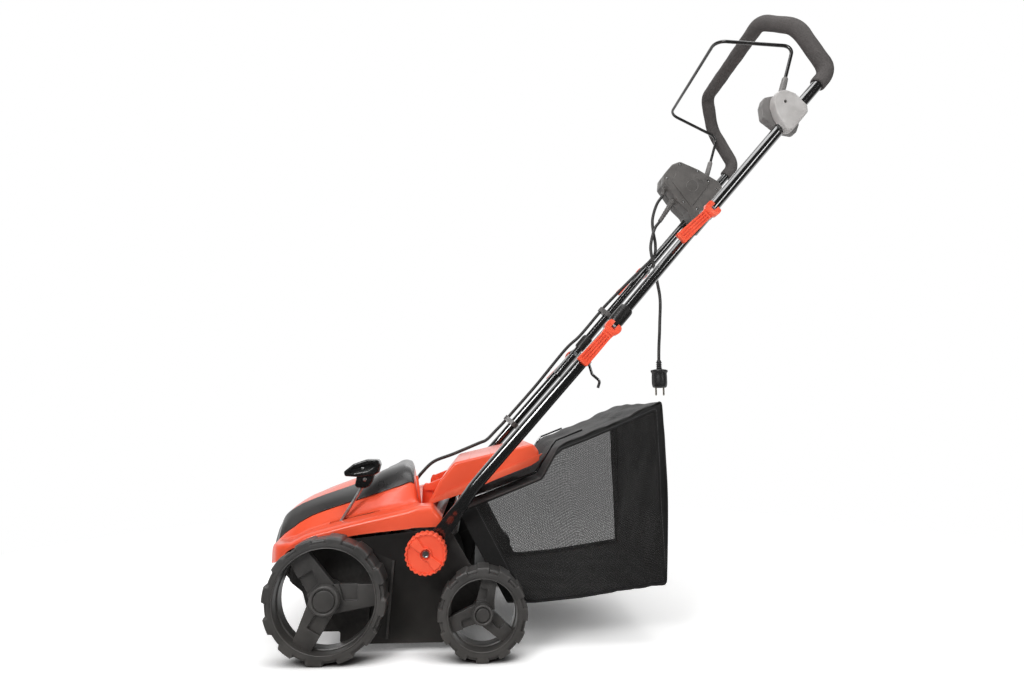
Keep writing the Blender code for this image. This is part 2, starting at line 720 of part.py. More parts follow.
def shell(name, top, bottom, keep):
    """Closed skin between two grids over the cells for which keep(i, j) is true."""
    rows, columns = len(top), len(top[0])
    points = [p for line in top for p in line] + [p for line in bottom for p in line]
    base = rows * columns
    cells = {(i, j) for i in range(rows - 1) for j in range(columns - 1) if keep(i, j)}
    faces = []
    for i, j in cells:
        a, b, c, d = (i * columns + j, i * columns + j + 1, (i + 1) * columns + j + 1,
                      (i + 1) * columns + j)
        faces += [[a, b, c], [a, c, d]]
        faces += [[c + base, b + base, a + base], [d + base, c + base, a + base]]
        for other, (p, q) in (((i - 1, j), (a, b)), ((i, j + 1), (b, c)), ((i + 1, j), (c, d)),
                              ((i, j - 1), (d, a))):
            if other not in cells:
                faces.append([p, p + base, q + base, q])
    used = sorted({v for face in faces for v in face})
    index = {v: k for k, v in enumerate(used)}
    return solid(name, [points[v] for v in used], [[index[v] for v in face] for face in faces])


def build_hood(orange, black):
    grid = hood_grid()
    normals = grid_normals(grid)
    first, last = bandRows
    columns = len(grid[0])
    closed = [row[6] < 0.02 for row in hood_rows()]

    def in_band(i, j):
        j = min(j, columns - 1 - j)
        return first <= i <= last and bandColumns[0] <= j and (j <= bandColumns[1] or closed[i])

    top = [[p - normals[i][j] * bandDepth if in_band(i, j) else p for j, p in enumerate(line)]
           for i, line in enumerate(grid)]
    inward = grid_normals(top)
    under = [[p - inward[i][j] * hoodWall for j, p in enumerate(line)] for i, line in enumerate(top)]
    hood = shell("top_cover", top, under, lambda i, j: True)
    slot = [(-0.018, leverY - 0.0055), (0.052, leverY - 0.0055), (0.052, leverY + 0.0055),
            (-0.018, leverY + 0.0055)]
    cut(hood, prism("slot", slot, 0.17, 0.25, lambda x, h, y: (x, y, h)))
    for side in (-1, 1):
        y0, y1 = sorted((side * 0.092, side * 0.098))
        ear = [(0.137, 0.2355), (0.163, 0.2370), (0.160, 0.262), (0.153, 0.2715), (0.146, 0.2715),
               (0.140, 0.262)]
        fuse(hood, prism("ear", rounded(ear, 0.003, 2), y0, y1))
        cut(hood, rod_along_y("pin hole", flapHinge, 0.003 + runGap, y0 - 0.002, y1 + 0.002))
    tidy(hood, "top_cover", orange, (0, 0, 0))
    lift = bandDepth - 2 * gap
    inset = 3 * gap
    face = [list(line) for line in grid]
    for i in range(first, last + 1):
        for side in (1, -1):
            j = bandColumns[0] if side > 0 else columns - 1 - bandColumns[0]
            face[i][j] = grid[i][j] + (grid[i][j + side] - grid[i][j]).normalized() * inset
            j = bandColumns[1] if side > 0 else columns - 1 - bandColumns[1]
            if not closed[i]:
                face[i][j] = grid[i][j] + (grid[i][j - side] - grid[i][j]).normalized() * inset
    for i, step in ((first, 1), (last, -1)):
        face[i] = [p + (grid[i + step][j] - p).normalized() * inset for j, p in enumerate(face[i])]
    under = [[p - normals[i][j] * lift for j, p in enumerate(line)] for i, line in enumerate(face)]

    def covered(i, j):
        j = min(j, columns - 2 - j)
        if not first <= i < last or j < bandColumns[0]:
            return False
        return j < bandColumns[1] or closed[i]

    cover = shell("motor_cover", face, under, covered)
    tidy(cover, "motor_cover", black, (0, 0, 0))


def build_flap(orange):
    """Rear deflector: raised box open below and behind, with two hinge arms and moulded pins."""
    outline = [(0.181, 0.241), (0.190, 0.309), (0.199, 0.3175), (0.352, 0.3470), (0.369, 0.3305),
               (0.354, 0.3060)]
    flap = prism("rear_flap", rounded(outline, [0.002, 0.006, 0.01, 0.004, 0.004, 0.002], 3),
                 -flapY, flapY)
    room = [(0.182, 0.220), (0.1935, 0.3068), (0.201, 0.3147), (0.3505, 0.3436), (0.3655, 0.3300),
            (0.362, 0.260)]
    cut(flap, prism("room", room, -flapY + wall, flapY - wall))
    for side in (-1, 1):
        y0, y1 = sorted((side * 0.0985, side * 0.106))
        arm = [(0.1450, 0.2600), (0.156, 0.2585), (0.186, 0.2700), (0.1875, 0.2870), (0.152, 0.2710),
               (0.1455, 0.2685)]
        fuse(flap, prism("arm", rounded(arm, 0.003, 2), y0, y1))
        y0, y1 = sorted((side * 0.0915, side * 0.100))
        fuse(flap, rod_along_y("pin", flapHinge, 0.003, y0, y1, 12))
        y0, y1 = sorted((side * (flapY - 0.001), side * (flapY + 0.0016)))
        strip = [(0.1835, 0.2560), (0.3600, 0.3165), (0.3640, 0.3235), (0.1845, 0.2630)]
        fuse(flap, prism("bead", strip, y0, y1))
    return tidy(flap, "rear_flap", orange, (flapHinge[0], 0, flapHinge[1]))


def build_bag(fabric, steel):
    outline = [(0.301, 0.075), (0.263, 0.135), (0.229, 0.200), (0.214, 0.231), (0.362, 0.289),
               (0.393, 0.3455), (0.404, 0.352), (0.494, 0.386), (0.582, 0.427), (0.587, 0.250),
               (0.580, 0.101), (0.510, 0.093), (0.431, 0.081), (0.350, 0.074)]
    radii = [0.004, 0, 0, 0.003, 0.004, 0.004, 0, 0, 0.014, 0, 0.014, 0, 0, 0]
    bag = prism("bag_shell", rounded(outline, radii, 3), -bagY, bagY)
    bag = bevel(bag, 0.006, 50)
    t = bagThick
    room = [(0.180, 0.170), (0.190, 0.226), (0.211, 0.2285), (0.364, 0.2865), (0.395, 0.3430),
            (0.405, 0.3490), (0.495, 0.3830), (0.578, 0.4215), (0.584, 0.250), (0.577, 0.1040),
            (0.510, 0.096), (0.431, 0.084), (0.350, 0.077), (0.307, 0.078), (0.262, 0.120),
            (0.200, 0.130)]
    cut(bag, prism("room", room, -bagY + t, bagY - t))
    origin = (0.40, 0, 0.24)
    tidy(bag, "bag_shell", fabric, origin)
    build_bag_frame(steel, origin)


def build_bag_frame(steel, origin):
    """Bent wire: a bar across the mouth with two arms lying on the bag's top."""
    across = 0.140
    arm = [(0.444, 0.3732), (0.394, 0.3535), (0.3865, 0.3440), (0.3565, 0.2950), (0.300, 0.2722),
           (0.206, 0.2375)]
    near = [(x, -across, z) for x, z in arm]
    far = [(x, across, z) for x, z in reversed(arm)]
    path = fillet_path(near + far, [0, 0.004, 0.004, 0, 0.012, 0.012, 0, 0.004, 0.004, 0], 2)
    path = [p for i, p in enumerate(path) if i == 0 or (p - path[i - 1]).length > 1e-5]
    frame = tube("bag_frame", path, wireR, count=8)
    tidy(frame, "bag_frame", steel, origin)


def build_knobs(orange, zinc):
    """Notched clamping knob with a grip bar across it, on a bolt through the deck side."""
    low, high = -knobOuterY, -(flatY + flatHalfThick + gap)
    outline = []
    for i in range(knobNotches):
        turn = 360 * i / knobNotches
        step = 360 / knobNotches
        outline += arc(knobPivot, knobR, turn, turn + step * 0.58, 2)
        outline += arc(knobPivot, knobR - 0.0022, turn + step * 0.79, turn + step * 0.80, 1)
    knob = prism("knob", outline, -0.232, -0.216)
    fuse(knob, rod_along_y("hub", knobPivot, 0.0135, low + 0.002, high, 16))
    half, wide = knobR - 0.006, 0.0054
    bar = turned([(-half, -wide), (half, -wide), (half, wide), (-half, wide)], knobPivot, -40)
    fuse(knob, prism("bar", rounded(bar, 0.004, 2), low, -0.230))
    cut(knob, rod_along_y("bore", knobPivot, 0.004 + runGap, low - 0.01, high + 0.01, 16))
    cut(knob, rod_along_y("seat", knobPivot, 0.0090, low - 0.01, low + 0.005, 20))
    origin = (knobPivot[0], -0.225, knobPivot[1])
    pair(knob, "handle_knob", orange, origin)
    inside = -deckY + wall + gap
    profile = [(0, inside + 0.0055), (0.009, inside + 0.0055), (0.009, inside), (0.004, inside),
               (0.004, low + 0.0045), (0.0085, low + 0.0045), (0.0085, low + 0.0012),
               (0.0072, low + 0.0002), (0, low + 0.0002)]
    pair(lathe("bolt", knobPivot, profile, 14), "knob_bolt", zinc, origin)


def along(slope):
    """Unit direction up a handle tube and its forward normal, in x and z."""
    t = math.radians(slope)
    return Vector((math.cos(t), math.sin(t))), Vector((-math.sin(t), math.cos(t)))


def press_stations(reach):
    """Offsets along a tube about a bolt where the pressed flat starts and ends, with its depth share."""
    return [(-reach - 0.005, 0.0), (-reach, 1.0), (0.0, 1.0), (reach, 1.0), (reach + 0.005, 0.0)]


def bolt_hole(bolt, y0, y1):
    return rod_along_y("bolt hole", bolt, boltR + runGap, y0, y1, 12)


def build_lower_tubes(black):
    d = (Vector(lowerBolt) - Vector((0.250, 0.287))).normalized()
    stations = [(0.1502, 0.1555, flatY, 1.0, 0), (0.1620, 0.1700, flatY, 1.0, 0),
                (0.1850, 0.1980, flatY, 1.0, 0), (0.1970, 0.2128, flatY + 0.0006, 0.94, 0),
                (0.2080, 0.2282, flatY + 0.0042, 0.66, 0), (0.2190, 0.2440, flatY + 0.0098, 0.30, 0),
                (0.2330, 0.2645, lowerY - 0.0016, 0.06, 0), (0.2500, 0.2870, lowerY, 0.0, 0),
                (0.3270, 0.3745, lowerY, 0.0, 0)]
    for offset, share in press_stations(0.0130)[:-1]:
        spot = Vector(lowerBolt) + d * offset
        stations.append((spot[0], spot[1], lowerY, 0.0, share))
    path = [Vector((x, -y, z)) for x, z, y, _, _ in stations]

    def shape(i, a, b, depth):
        flat, press = stations[i][3], stations[i][4]
        radius = lowerR - depth
        if press:
            return min(a, lowerR - pressDepth * press - depth), b
        if not flat:
            return a, b
        thin = flatHalfThick - depth
        broad = flatHalfWide - depth
        ratio = max(-1, min(1, a / radius))
        pressed = math.copysign(abs(ratio) ** 0.4, ratio) * thin if abs(ratio) > 1e-6 else 0
        return a + (pressed - a) * flat, b + (b / radius * broad - b) * flat

    near = tube("lower_tube", path, lowerR, lowerR - tubeWall, 10, shape)
    cut(near, rod_along_y("knob hole", knobPivot, 0.004 + runGap, -0.215, -0.190, 12))
    cut(near, bolt_hole(lowerBolt, -0.24, -0.20))
    pair(near, "lower_tube", black, (knobPivot[0], -lowerY, knobPivot[1]))


def build_middle_tubes(black):
    start = Vector(lowerBolt)
    d = (Vector(upperBolt) - start).normalized()
    length = (Vector(upperBolt) - start).length
    stations = [(-0.068, 0.0)]
    stations += press_stations(0.0130)
    stations += [(length + offset, share) for offset, share in press_stations(0.0130)[:-1]]
    path = []
    for offset, _ in stations:
        spot = start + d * offset
        path.append(Vector((spot[0], -middleY, spot[1])))

    def shape(i, a, b, depth):
        return max(a, -(middleR - pressDepth * stations[i][1] - depth)), b

    near = tube("middle_tube", path, middleR, middleR - tubeWall, 10, shape)
    cut(near, bolt_hole(lowerBolt, -0.22, -0.18), bolt_hole(upperBolt, -0.22, -0.18))
    pair(near, "middle_tube", black, (lowerBolt[0], -middleY, lowerBolt[1]))


def handle_path():
    corners = [(0.6440, -0.2200, 0.7400), (0.9300, -0.2200, 1.0710), (0.8740, -0.2160, 1.1680),
               (0.8350, -0.1480, 1.2240), (0.8350, 0.1480, 1.2240), (0.8740, 0.2160, 1.1680),
               (0.9300, 0.2200, 1.0710), (0.6440, 0.2200, 0.7400)]
    path = fillet_path(corners, [0.030, 0.060, 0.050, 0.050, 0.060, 0.030], 2)
    low = path[0]
    d = (path[1] - low).normalized()
    bolt = Vector((upperBolt[0], -lowerY, upperBolt[1]))
    at = (bolt - low).dot(d)
    head = [low + d * (at + offset) for offset, _ in press_stations(0.0130)]
    tail = [Vector((p[0], -p[1], p[2])) for p in reversed(head)]
    path = [low] + head + path[1:-1] + tail + [path[-1]]
    return path


def trim(path, start, end):
    """Part of a path between two lengths along it."""
    result = []
    walked = 0.0
    total = sum((b - a).length for a, b in zip(path, path[1:]))
    end = total - end
    for a, b in zip(path, path[1:]):
        step = (b - a).length
        if walked <= start < walked + step:
            result.append(a.lerp(b, (start - walked) / step))
        elif start < walked < end:
            result.append(a)
        if walked < end <= walked + step:
            result.append(a.lerp(b, (end - walked) / step))
        walked += step
    return result


def build_upper_handle(black, foam):
    path = handle_path()
    shares = [0.0] + [share for _, share in press_stations(0.0130)]

    def shape(i, a, b, depth):
        share = shares[min(i, len(path) - 1 - i)] if min(i, len(path) - 1 - i) < len(shares) else 0.0
        return min(a, upperR - pressDepth * share - depth), b

    bar = tube("upper_handle", path, upperR, upperR - tubeWall, 10, shape)
    for side in (-1, 1):
        y0, y1 = sorted((side * 0.20, side * 0.24))
        cut(bar, bolt_hole(upperBolt, y0, y1))
    origin = (upperBolt[0], 0, upperBolt[1])
    tidy(bar, "upper_handle", black, origin)
    start = 0.398
    grip = tube("foam_grip", trim(path, start, start), foamR, upperR + gap, 10)
    tidy(grip, "foam_grip", foam, origin)


def build_pivots(black, orange, zinc):
    """Hardware of both folds: pivot washers, cam bolts and cam levers."""
    inner = middleY + middleR - pressDepth + gap
    outer = lowerY - lowerR + pressDepth - gap
    for place, bolt, slope in (("lower", lowerBolt, 227.8), ("upper", upperBolt, 223.0)):
        ring = [(boltR + runGap, -outer), (0.0125, -outer), (0.0125, -inner), (boltR + runGap, -inner)]
        origin = (bolt[0], -middleY, bolt[1])
        pair(lathe("washer", bolt, ring, 14), place + "_pivot_washer", black, origin)
        cam_set(place, bolt, slope, orange, zinc)


def cam_set(place, bolt, slope, orange, zinc):
    camY = lowerY + lowerR + gap + camR
    t = math.radians(slope)
    d = (math.cos(t), math.sin(t))

    def flatways(s, y, w):
        return (bolt[0] + d[0] * s - d[1] * w, y, bolt[1] + d[1] * s + d[0] * w)

    def sideways(s, w, y):
        return (bolt[0] + d[0] * s - d[1] * w, -y, bolt[1] + d[1] * s + d[0] * w)

    face = arc((0.002, 0), 0.0145, 48, 312, 11)
    face += [(0.020, -0.0100), (0.040, -0.0105), (0.084, -0.0094), (0.0868, -0.0070),
             (0.0868, 0.0070), (0.084, 0.0094), (0.040, 0.0105), (0.020, 0.0100)]
    lever = prism("lever", face, -0.30, -0.20, flatways)
    edge = arc((0, camY), camR, 90, 290, 10)
    edge += [(0.011, camY - 0.0030), (0.030, camY - 0.0016), (0.0850, camY - 0.0050),
             (0.0868, camY - 0.0035), (0.0868, camY + 0.0025), (0.0850, camY + 0.0042),
             (0.030, camY + 0.0092)]
    combine(lever, prism("profile", edge, -0.02, 0.02, sideways), "INTERSECT")
    slot = [(-0.02, -0.0037), (0.0048, -0.0037), (0.0048, 0.0037), (-0.02, 0.0037)]
    cut(lever, prism("slot", slot, -0.30, -0.20, flatways))
    hole = prism("hole", circle((0, camY), 0.0042 + gap, 12), -0.02, 0.02, sideways)
    cut(lever, hole)
    groove = [(0.024, camY + 0.0086), (0.078, camY + 0.0036), (0.078, camY + 0.02), (0.024, camY + 0.02)]
    cut(lever, prism("groove", groove, -0.0045, 0.0045, sideways))
    origin = (bolt[0], -camY, bolt[1])
    pair(lever, place + "_cam_lever", orange, origin)
    head = middleY - middleR - gap
    screw = rod_along_y("bolt", bolt, boltR, -camY, -head + 0.002, 12)
    fuse(screw, prism("barrel", circle((0, camY), 0.0042, 12), -0.0125, 0.0125, sideways))
    fuse(screw, rod_along_y("head", bolt, 0.0056, -head, -head + 0.0045, 6))
    pair(screw, place + "_cam_bolt", zinc, origin)


def build_collars(black):
    """Moulded end collar round each middle tube just above the lower bolt."""
    start = Vector(lowerBolt)
    d = (Vector(upperBolt) - start).normalized()
    spots = [0.0185, 0.0210, 0.0250, 0.0500, 0.0545, 0.0560]
    swell = [0.84, 0.95, 1.0, 1.0, 0.92, 0.84]
    path = [Vector((start[0] + d[0] * s, -middleY, start[1] + d[1] * s)) for s in spots]

    def shape(i, a, b, depth):
        return a * (1.26 if a > 0 else 1.0), b * 1.31 * swell[i]

    block = tube("block", path, 0.0107, 0.0, 14, shape)
    cut(block, tube("bore", [path[0] - (path[1] - path[0]), path[-1] + (path[1] - path[0])],
                    middleR + 2 * gap, 0.0, 14))
    pair(block, "tube_collar", black, (lowerBolt[0], -middleY, lowerBolt[1]))


upperLine = ((0.776, 0.8928), (0.6538, 0.7567))


def upper_channel(y, reach=0.12):
    """Bar along the straight part of the upper tube, used to clear its seat in other pieces."""
    (x, z), (dx, dz) = upperLine
    start = Vector((x - dx * 0.06, y, z - dz * 0.06))
    return tube("channel", [start, start + Vector((dx, 0, dz)) * (reach + 0.12)], upperR + gap, 0.0, 20)


def build_switch_box(grey, black):
    outline = [(0.7215, 1.0020), (0.7240, 1.0260), (0.7450, 1.0510), (0.7660, 1.0595), (0.8135, 1.0388),
               (0.8660, 1.0070), (0.8770, 0.9874), (0.7930, 0.8902), (0.7800, 0.9250), (0.7592, 0.9461)]
    radii = [0.008, 0.010, 0.012, 0.012, 0.02, 0.008, 0.006, 0.006, 0.010, 0.004]
    box = prism("switch_box", rounded(outline, radii, 2), *boxY)
    box = bevel(box, 0.003, 50)
    panel = [(0.7601, 1.0425), (0.8051, 1.0350), (0.8400, 1.0133), (0.8413, 1.0017), (0.7904, 0.9352),
             (0.7418, 1.0033)]
    fuse(box, prism("panel", rounded(panel, 0.006, 2), boxY[0] - 0.0018, boxY[0] + 0.004))
    fuse(box, tube("gland", [Vector((0.7320, 0.195, 1.0030)), Vector((0.7247, 0.195, 0.9765))], 0.0062,
                   count=12))
    fuse(box, tube("nut", [Vector((0.7560, 0.195, 0.9700)), Vector((0.7440, 0.195, 0.9480))], 0.0088,
                   count=12))
    fuse(box, tube("boot", [Vector((0.7480, 0.195, 0.9540)), Vector((0.7123, 0.190, 0.9024))], 0.0052,
                   count=12))
    for spot in ((0.7657, 1.0500), (0.7290, 1.0110), (0.7704, 0.9480), (0.8135, 1.0300), (0.8450, 1.0071),
                 (0.8584, 0.9870), (0.7990, 0.9310)):
        cut(box, rod_along_y("recess", spot, 0.0030, boxY[0] - 0.01, boxY[0] + 0.003, 6))
    cut(box, upper_channel(lowerY))
    cut(box, rod_along_y("button bore", (0.790, 0.985), 0.0072, boxY[1] - 0.0125, boxY[1] + 0.01, 16))
    px, pz = bailPivot

    def ray(r, angle):
        return (px + r * math.cos(math.radians(angle)), pz + r * math.sin(math.radians(angle)))

    slot = [ray(0.0068, 155), ray(0.065, 77), ray(0.065, 30), ray(0.0068, -50)]
    cut(box, prism("bail slot", slot, bailArmY - 0.0062, bailArmY + 0.0062))
    cut(box, rod_along_y("bail pin hole", bailPivot, bailR + runGap, bailArmY, 0.2185, 12))
    origin = (upperBolt[0], 0, upperBolt[1])
    tidy(box, "switch_box", grey, origin)
    button = lathe("push_button", (0.790, 0.985),
                   [(0, boxY[1] - 0.0090), (0.0068, boxY[1] - 0.0090), (0.0068, boxY[1] + 0.0030),
                    (0.0058, boxY[1] + 0.0042), (0, boxY[1] + 0.0046)], 20)
    tidy(button, "push_button", black, (0.790, boxY[1], 0.985))


def build_bail(chrome, grey, dark):
    """Bent rod that the operator pulls to the grip, turning in the box and in the near bracket."""
    px, pz = bailPivot
    y = bailArmY
    corners = [(px, -0.2170, pz), (px, -y, pz), (0.8460, -y, 1.0370), (0.8765, -y, 1.1390),
               (0.7370, -0.1500, 1.1770)]
    corners += [(x, -w, z) for x, w, z in reversed(corners)]
    radii = [0.006, 0.020, 0.018, 0.030, 0.030, 0.018, 0.020, 0.006]
    rod = tube("bail_rod", fillet_path(corners, radii, 3), bailR, count=8)
    tidy(rod, "bail_rod", chrome, (px, 0, pz))
    outline = [(0.7985, 1.0040), (0.8240, 1.0180), (0.8460, 1.0040), (0.8665, 0.9600), (0.8580, 0.9370),
               (0.8240, 0.9440), (0.8000, 0.9660)]
    outer = prism("outer", rounded(outline, 0.010, 3), -bracketY[1], -lowerY - 0.0002)
    outer = bevel(outer, 0.002, 50)
    cut(outer, upper_channel(-lowerY))
    cut(outer, rod_along_y("recess", (0.8250, 0.9950), 0.0036, -0.26, -bracketY[1] + 0.008, 12))
    origin = (upperBolt[0], 0, upperBolt[1])
    tidy(outer, "bail_bracket_outer", grey, origin)
    outline = [(0.7900, 0.9950), (0.7960, 1.0120), (0.8240, 1.0180), (0.8440, 1.0060), (0.8640, 0.9600),
               (0.8560, 0.9390), (0.8240, 0.9440), (0.7920, 0.9700)]
    inner = prism("inner", rounded(outline, 0.007, 3), -lowerY + 0.0002, -bracketY[0])
    cut(inner, upper_channel(-lowerY))
    cut(inner, rod_along_y("pin hole", bailPivot, bailR + runGap, -0.2185, -0.19, 12))
    tidy(inner, "bail_bracket_inner", dark, origin)


def build_clips(grey, black, steel):
    """Cable clips on the far tubes and the cord hook under the near lower tube."""
    for name, spot, y, radius in (("cable_clip_upper", (0.5718, 0.6553), middleY, middleR),
                                  ("cable_clip_lower", (0.3343, 0.3827), lowerY, lowerR)):
        d, n = along(49.4 if radius == middleR else 48.6)
        reach = radius + 0.0100

        def place(a, s, b):
            return (spot[0] + d[0] * s + n[0] * b, y + a, spot[1] + d[1] * s + n[1] * b)

        outline = capsule((0, 0), (0, reach), radius + 0.0026, cableR + 0.0034, 8)
        clip = prism(name, outline, -0.006, 0.006, place)
        cut(clip, prism("seat", circle((0, 0), radius + gap, 20), -0.01, 0.01, place))
        cut(clip, prism("eye", circle((0, reach), cableR + 0.0010, 12), -0.01, 0.01, place))
        mouth = [(-0.0020, reach), (0.0020, reach), (0.0020, reach + 0.02), (-0.0020, reach + 0.02)]
        cut(clip, prism("mouth", mouth, -0.01, 0.01, place))
        origin = (lowerBolt[0], middleY, lowerBolt[1]) if radius == middleR else (knobPivot[0], lowerY,
                                                                                  knobPivot[1])
        tidy(clip, name, grey, origin)
    d, n = along(48.6)
    at = Vector(lowerBolt) - d * 0.0755

    def place(a, s, b):
        return (at[0] + d[0] * s + n[0] * b, -lowerY + a, at[1] + d[1] * s + n[1] * b)

    hook = prism("cord_hook", circle((0, 0), lowerR + 0.0026, 14), -0.0045, 0.0045, place)
    points = [(at[0] + 0.0088, at[1] - 0.0088), (0.4500, 0.4720), (0.4640, 0.4600), (0.4600, 0.4480)]
    wire = fillet_path([(x, -lowerY, z) for x, z in points], [0.006, 0.006], 3)
    fuse(hook, tube("wire", wire, 0.0026, count=10))
    cut(hook, prism("seat", circle((0, 0), lowerR + 2 * gap, 14), -0.01, 0.01, place))
    tidy(hook, "cord_hook", black, (knobPivot[0], -lowerY, knobPivot[1]))


def smooth_route(points, spacing):
    """Evenly spaced points on a smooth curve through the given ones."""
    points = [Vector(p) for p in points]
    padded = [points[0] * 2 - points[1]] + points + [points[-1] * 2 - points[-2]]
    dense = []
    for i in range(1, len(padded) - 2):
        p0, p1, p2, p3 = padded[i - 1:i + 3]
        for step in range(16):
            t = step / 16
            dense.append(0.5 * ((2 * p1) + (p2 - p0) * t + (2 * p0 - 5 * p1 + 4 * p2 - p3) * t ** 2
                                + (3 * p1 - p0 - 3 * p2 + p3) * t ** 3))
    dense.append(points[-1])
    lengths = [0.0]
    for a, b in zip(dense, dense[1:]):
        lengths.append(lengths[-1] + (b - a).length)
    count = max(2, round(lengths[-1] / spacing))
    route = []
    at = 0
    for k in range(count + 1):
        goal = lengths[-1] * k / count
        while at < len(lengths) - 2 and lengths[at + 1] < goal:
            at += 1
        span = lengths[at + 1] - lengths[at]
        route.append(dense[at].lerp(dense[at + 1], min(1, (goal - lengths[at]) / span)))
    return route


def cord(name, points, mat, spacing):
    curve = bpy.data.curves.new(name, "CURVE")
    curve.dimensions = "3D"
    curve.bevel_depth = cableR
    curve.bevel_resolution = 2
    curve.use_fill_caps = True
    route = smooth_route(points, spacing)
    spline = curve.splines.new("POLY")
    spline.points.add(len(route) - 1)
    for spot, here in zip(spline.points, route):
        spot.co = (*here, 1)
    curve.materials.append(mat)
    obj = bpy.data.objects.new(name, curve)
    bpy.context.scene.collection.objects.link(obj)
    obj.location = (frameShift, 0, 0)
    return obj


def build_cables(rubber):
    d, n = along(49.4)
    e, m = along(48.6)

    def on_middle(s, off=0.0200):
        spot = Vector(lowerBolt) + d * s + n * off
        return (spot[0], middleY, spot[1])

    def on_lower(s, off=0.0210):
        spot = Vector((0.3343, 0.3827)) + e * s + m * off
        return (spot[0], lowerY, spot[1])

    clipAt = (Vector((0.5718, 0.6553)) - Vector(lowerBolt)).dot(d)
    motorRoute = [
        (0.7238, 0.195, 0.9738), (0.7067, 0.193, 0.9487), (0.6941, 0.191, 0.9099), (0.6930, 0.187, 0.8754),
        (0.6960, 0.1815, 0.8374), (0.6900, 0.1765, 0.8050), (0.6640, 0.1765, 0.7780),
        (0.6200, 0.1850, 0.7350), on_middle(clipAt + 0.020), on_middle(clipAt), on_middle(clipAt - 0.020),
        on_middle(0.045), (0.4640, 0.207, 0.5680), on_lower(0.110), on_lower(0.020), on_lower(0.0),
        on_lower(-0.018), (0.2920, 0.2080, 0.3690), (0.2680, 0.1820, 0.3460), (0.2480, 0.1715, 0.3375),
        (0.1892, 0.1700, 0.3130), (0.1440, 0.1640, 0.2960), (0.1180, 0.1560, 0.2720),
        (0.1050, 0.1490, 0.2550), (0.1020, 0.1380, 0.2480),
    ]
    cord("motor_cable", motorRoute, rubber, 0.0155)
    powerRoute = [
        (0.7110, 0.1892, 0.9004), (0.6977, 0.1800, 0.8836), (0.6873, 0.1700, 0.8619),
        (0.6787, 0.1635, 0.8296), (0.6791, 0.1630, 0.8073), (0.6844, 0.1630, 0.7778),
        (0.6920, 0.1630, 0.7337), (0.6978, 0.1630, 0.6900), (0.6940, 0.1635, 0.6142),
        (0.6910, 0.1650, 0.5642), (0.6900, 0.1650, 0.5376),
    ]
    cord("power_cord", powerRoute, rubber, 0.012)


def build_plug(rubber):
    """Two-pin earthed plug hanging from the cord: ribbed relief, flange, body and pins."""
    profile = [(0, 0.0), (0.0050, 0.0)]
    for i in range(3):
        z = -0.003 - i * 0.0060
        profile += [(0.0056, z), (0.0072, z - 0.0004), (0.0072, z - 0.0024), (0.0056, z - 0.0028)]
    profile += [(0.0090, -0.0215), (0.0205, -0.0235), (0.0205, -0.0285), (0.0180, -0.0315),
                (0.0185, -0.0560), (0.0170, -0.0640), (0.0150, -0.0665), (0, -0.0665)]
    body = lathe("plug", (0, 0), profile, 11)
    for x in (-0.0095, 0.0095):
        fuse(body, lathe("pin", (x, 0), [(0, -0.060), (0.0024, -0.060), (0.0024, -0.0845),
                                         (0.0012, -0.0860), (0, -0.0860)], 8))
    body.data.transform(Matrix.Rotation(math.radians(90), 4, "X"))
    body.data.transform(Matrix.Translation((plugTop[0], plugY, plugTop[1])))
    tidy(body, "plug", rubber, (plugTop[0], plugY, plugTop[1]))


def main():
    clear_scene()
    orange = material("orange plastic", (0.80, 0.045, 0.012), 0.0, 0.35)
    black = material("black plastic", (0.012, 0.012, 0.013), 0.0, 0.45)
    dark = material("dark grey plastic", (0.030, 0.030, 0.032), 0.0, 0.55)
    grey = material("grey plastic", (0.10, 0.10, 0.105), 0.0, 0.5)
    paint = material("black paint", (0.010, 0.010, 0.011), 0.0, 0.25)
    zinc = material("zinc plated steel", (0.60, 0.60, 0.58), 1.0, 0.30)
    steel = material("bare steel", (0.42, 0.42, 0.43), 1.0, 0.38)
    chrome = material("dark bright rod", (0.10, 0.10, 0.105), 1.0, 0.25)
    castMetal = material("cast motor metal", (0.30, 0.31, 0.32), 1.0, 0.50)
    foam = material("foam", (0.022, 0.022, 0.024), 0.0, 0.95)
    rubber = material("rubber", (0.015, 0.015, 0.016), 0.0, 0.70)
    fabric = material("bag fabric", (0.016, 0.016, 0.018), 0.0, 0.90)
    build_wheels(dark, black)
    build_axles(steel, zinc, black)
    build_drum(steel, castMetal, zinc, rubber)
    build_motor(castMetal)
    build_deck(black)
    build_hood(orange, dark)
    build_flap(orange)
    build_bag(fabric, steel)
    build_knobs(orange, zinc)
    build_lower_tubes(paint)
    build_middle_tubes(paint)
    build_upper_handle(paint, foam)
    build_pivots(black, orange, zinc)
    build_collars(black)
    build_switch_box(dark, black)
    build_bail(chrome, grey, dark)
    build_clips(grey, black, steel)
    build_cables(rubber)
    build_plug(rubber)


main()
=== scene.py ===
import math

import bmesh
import bpy
import numpy as np
from mathutils import Matrix, Vector


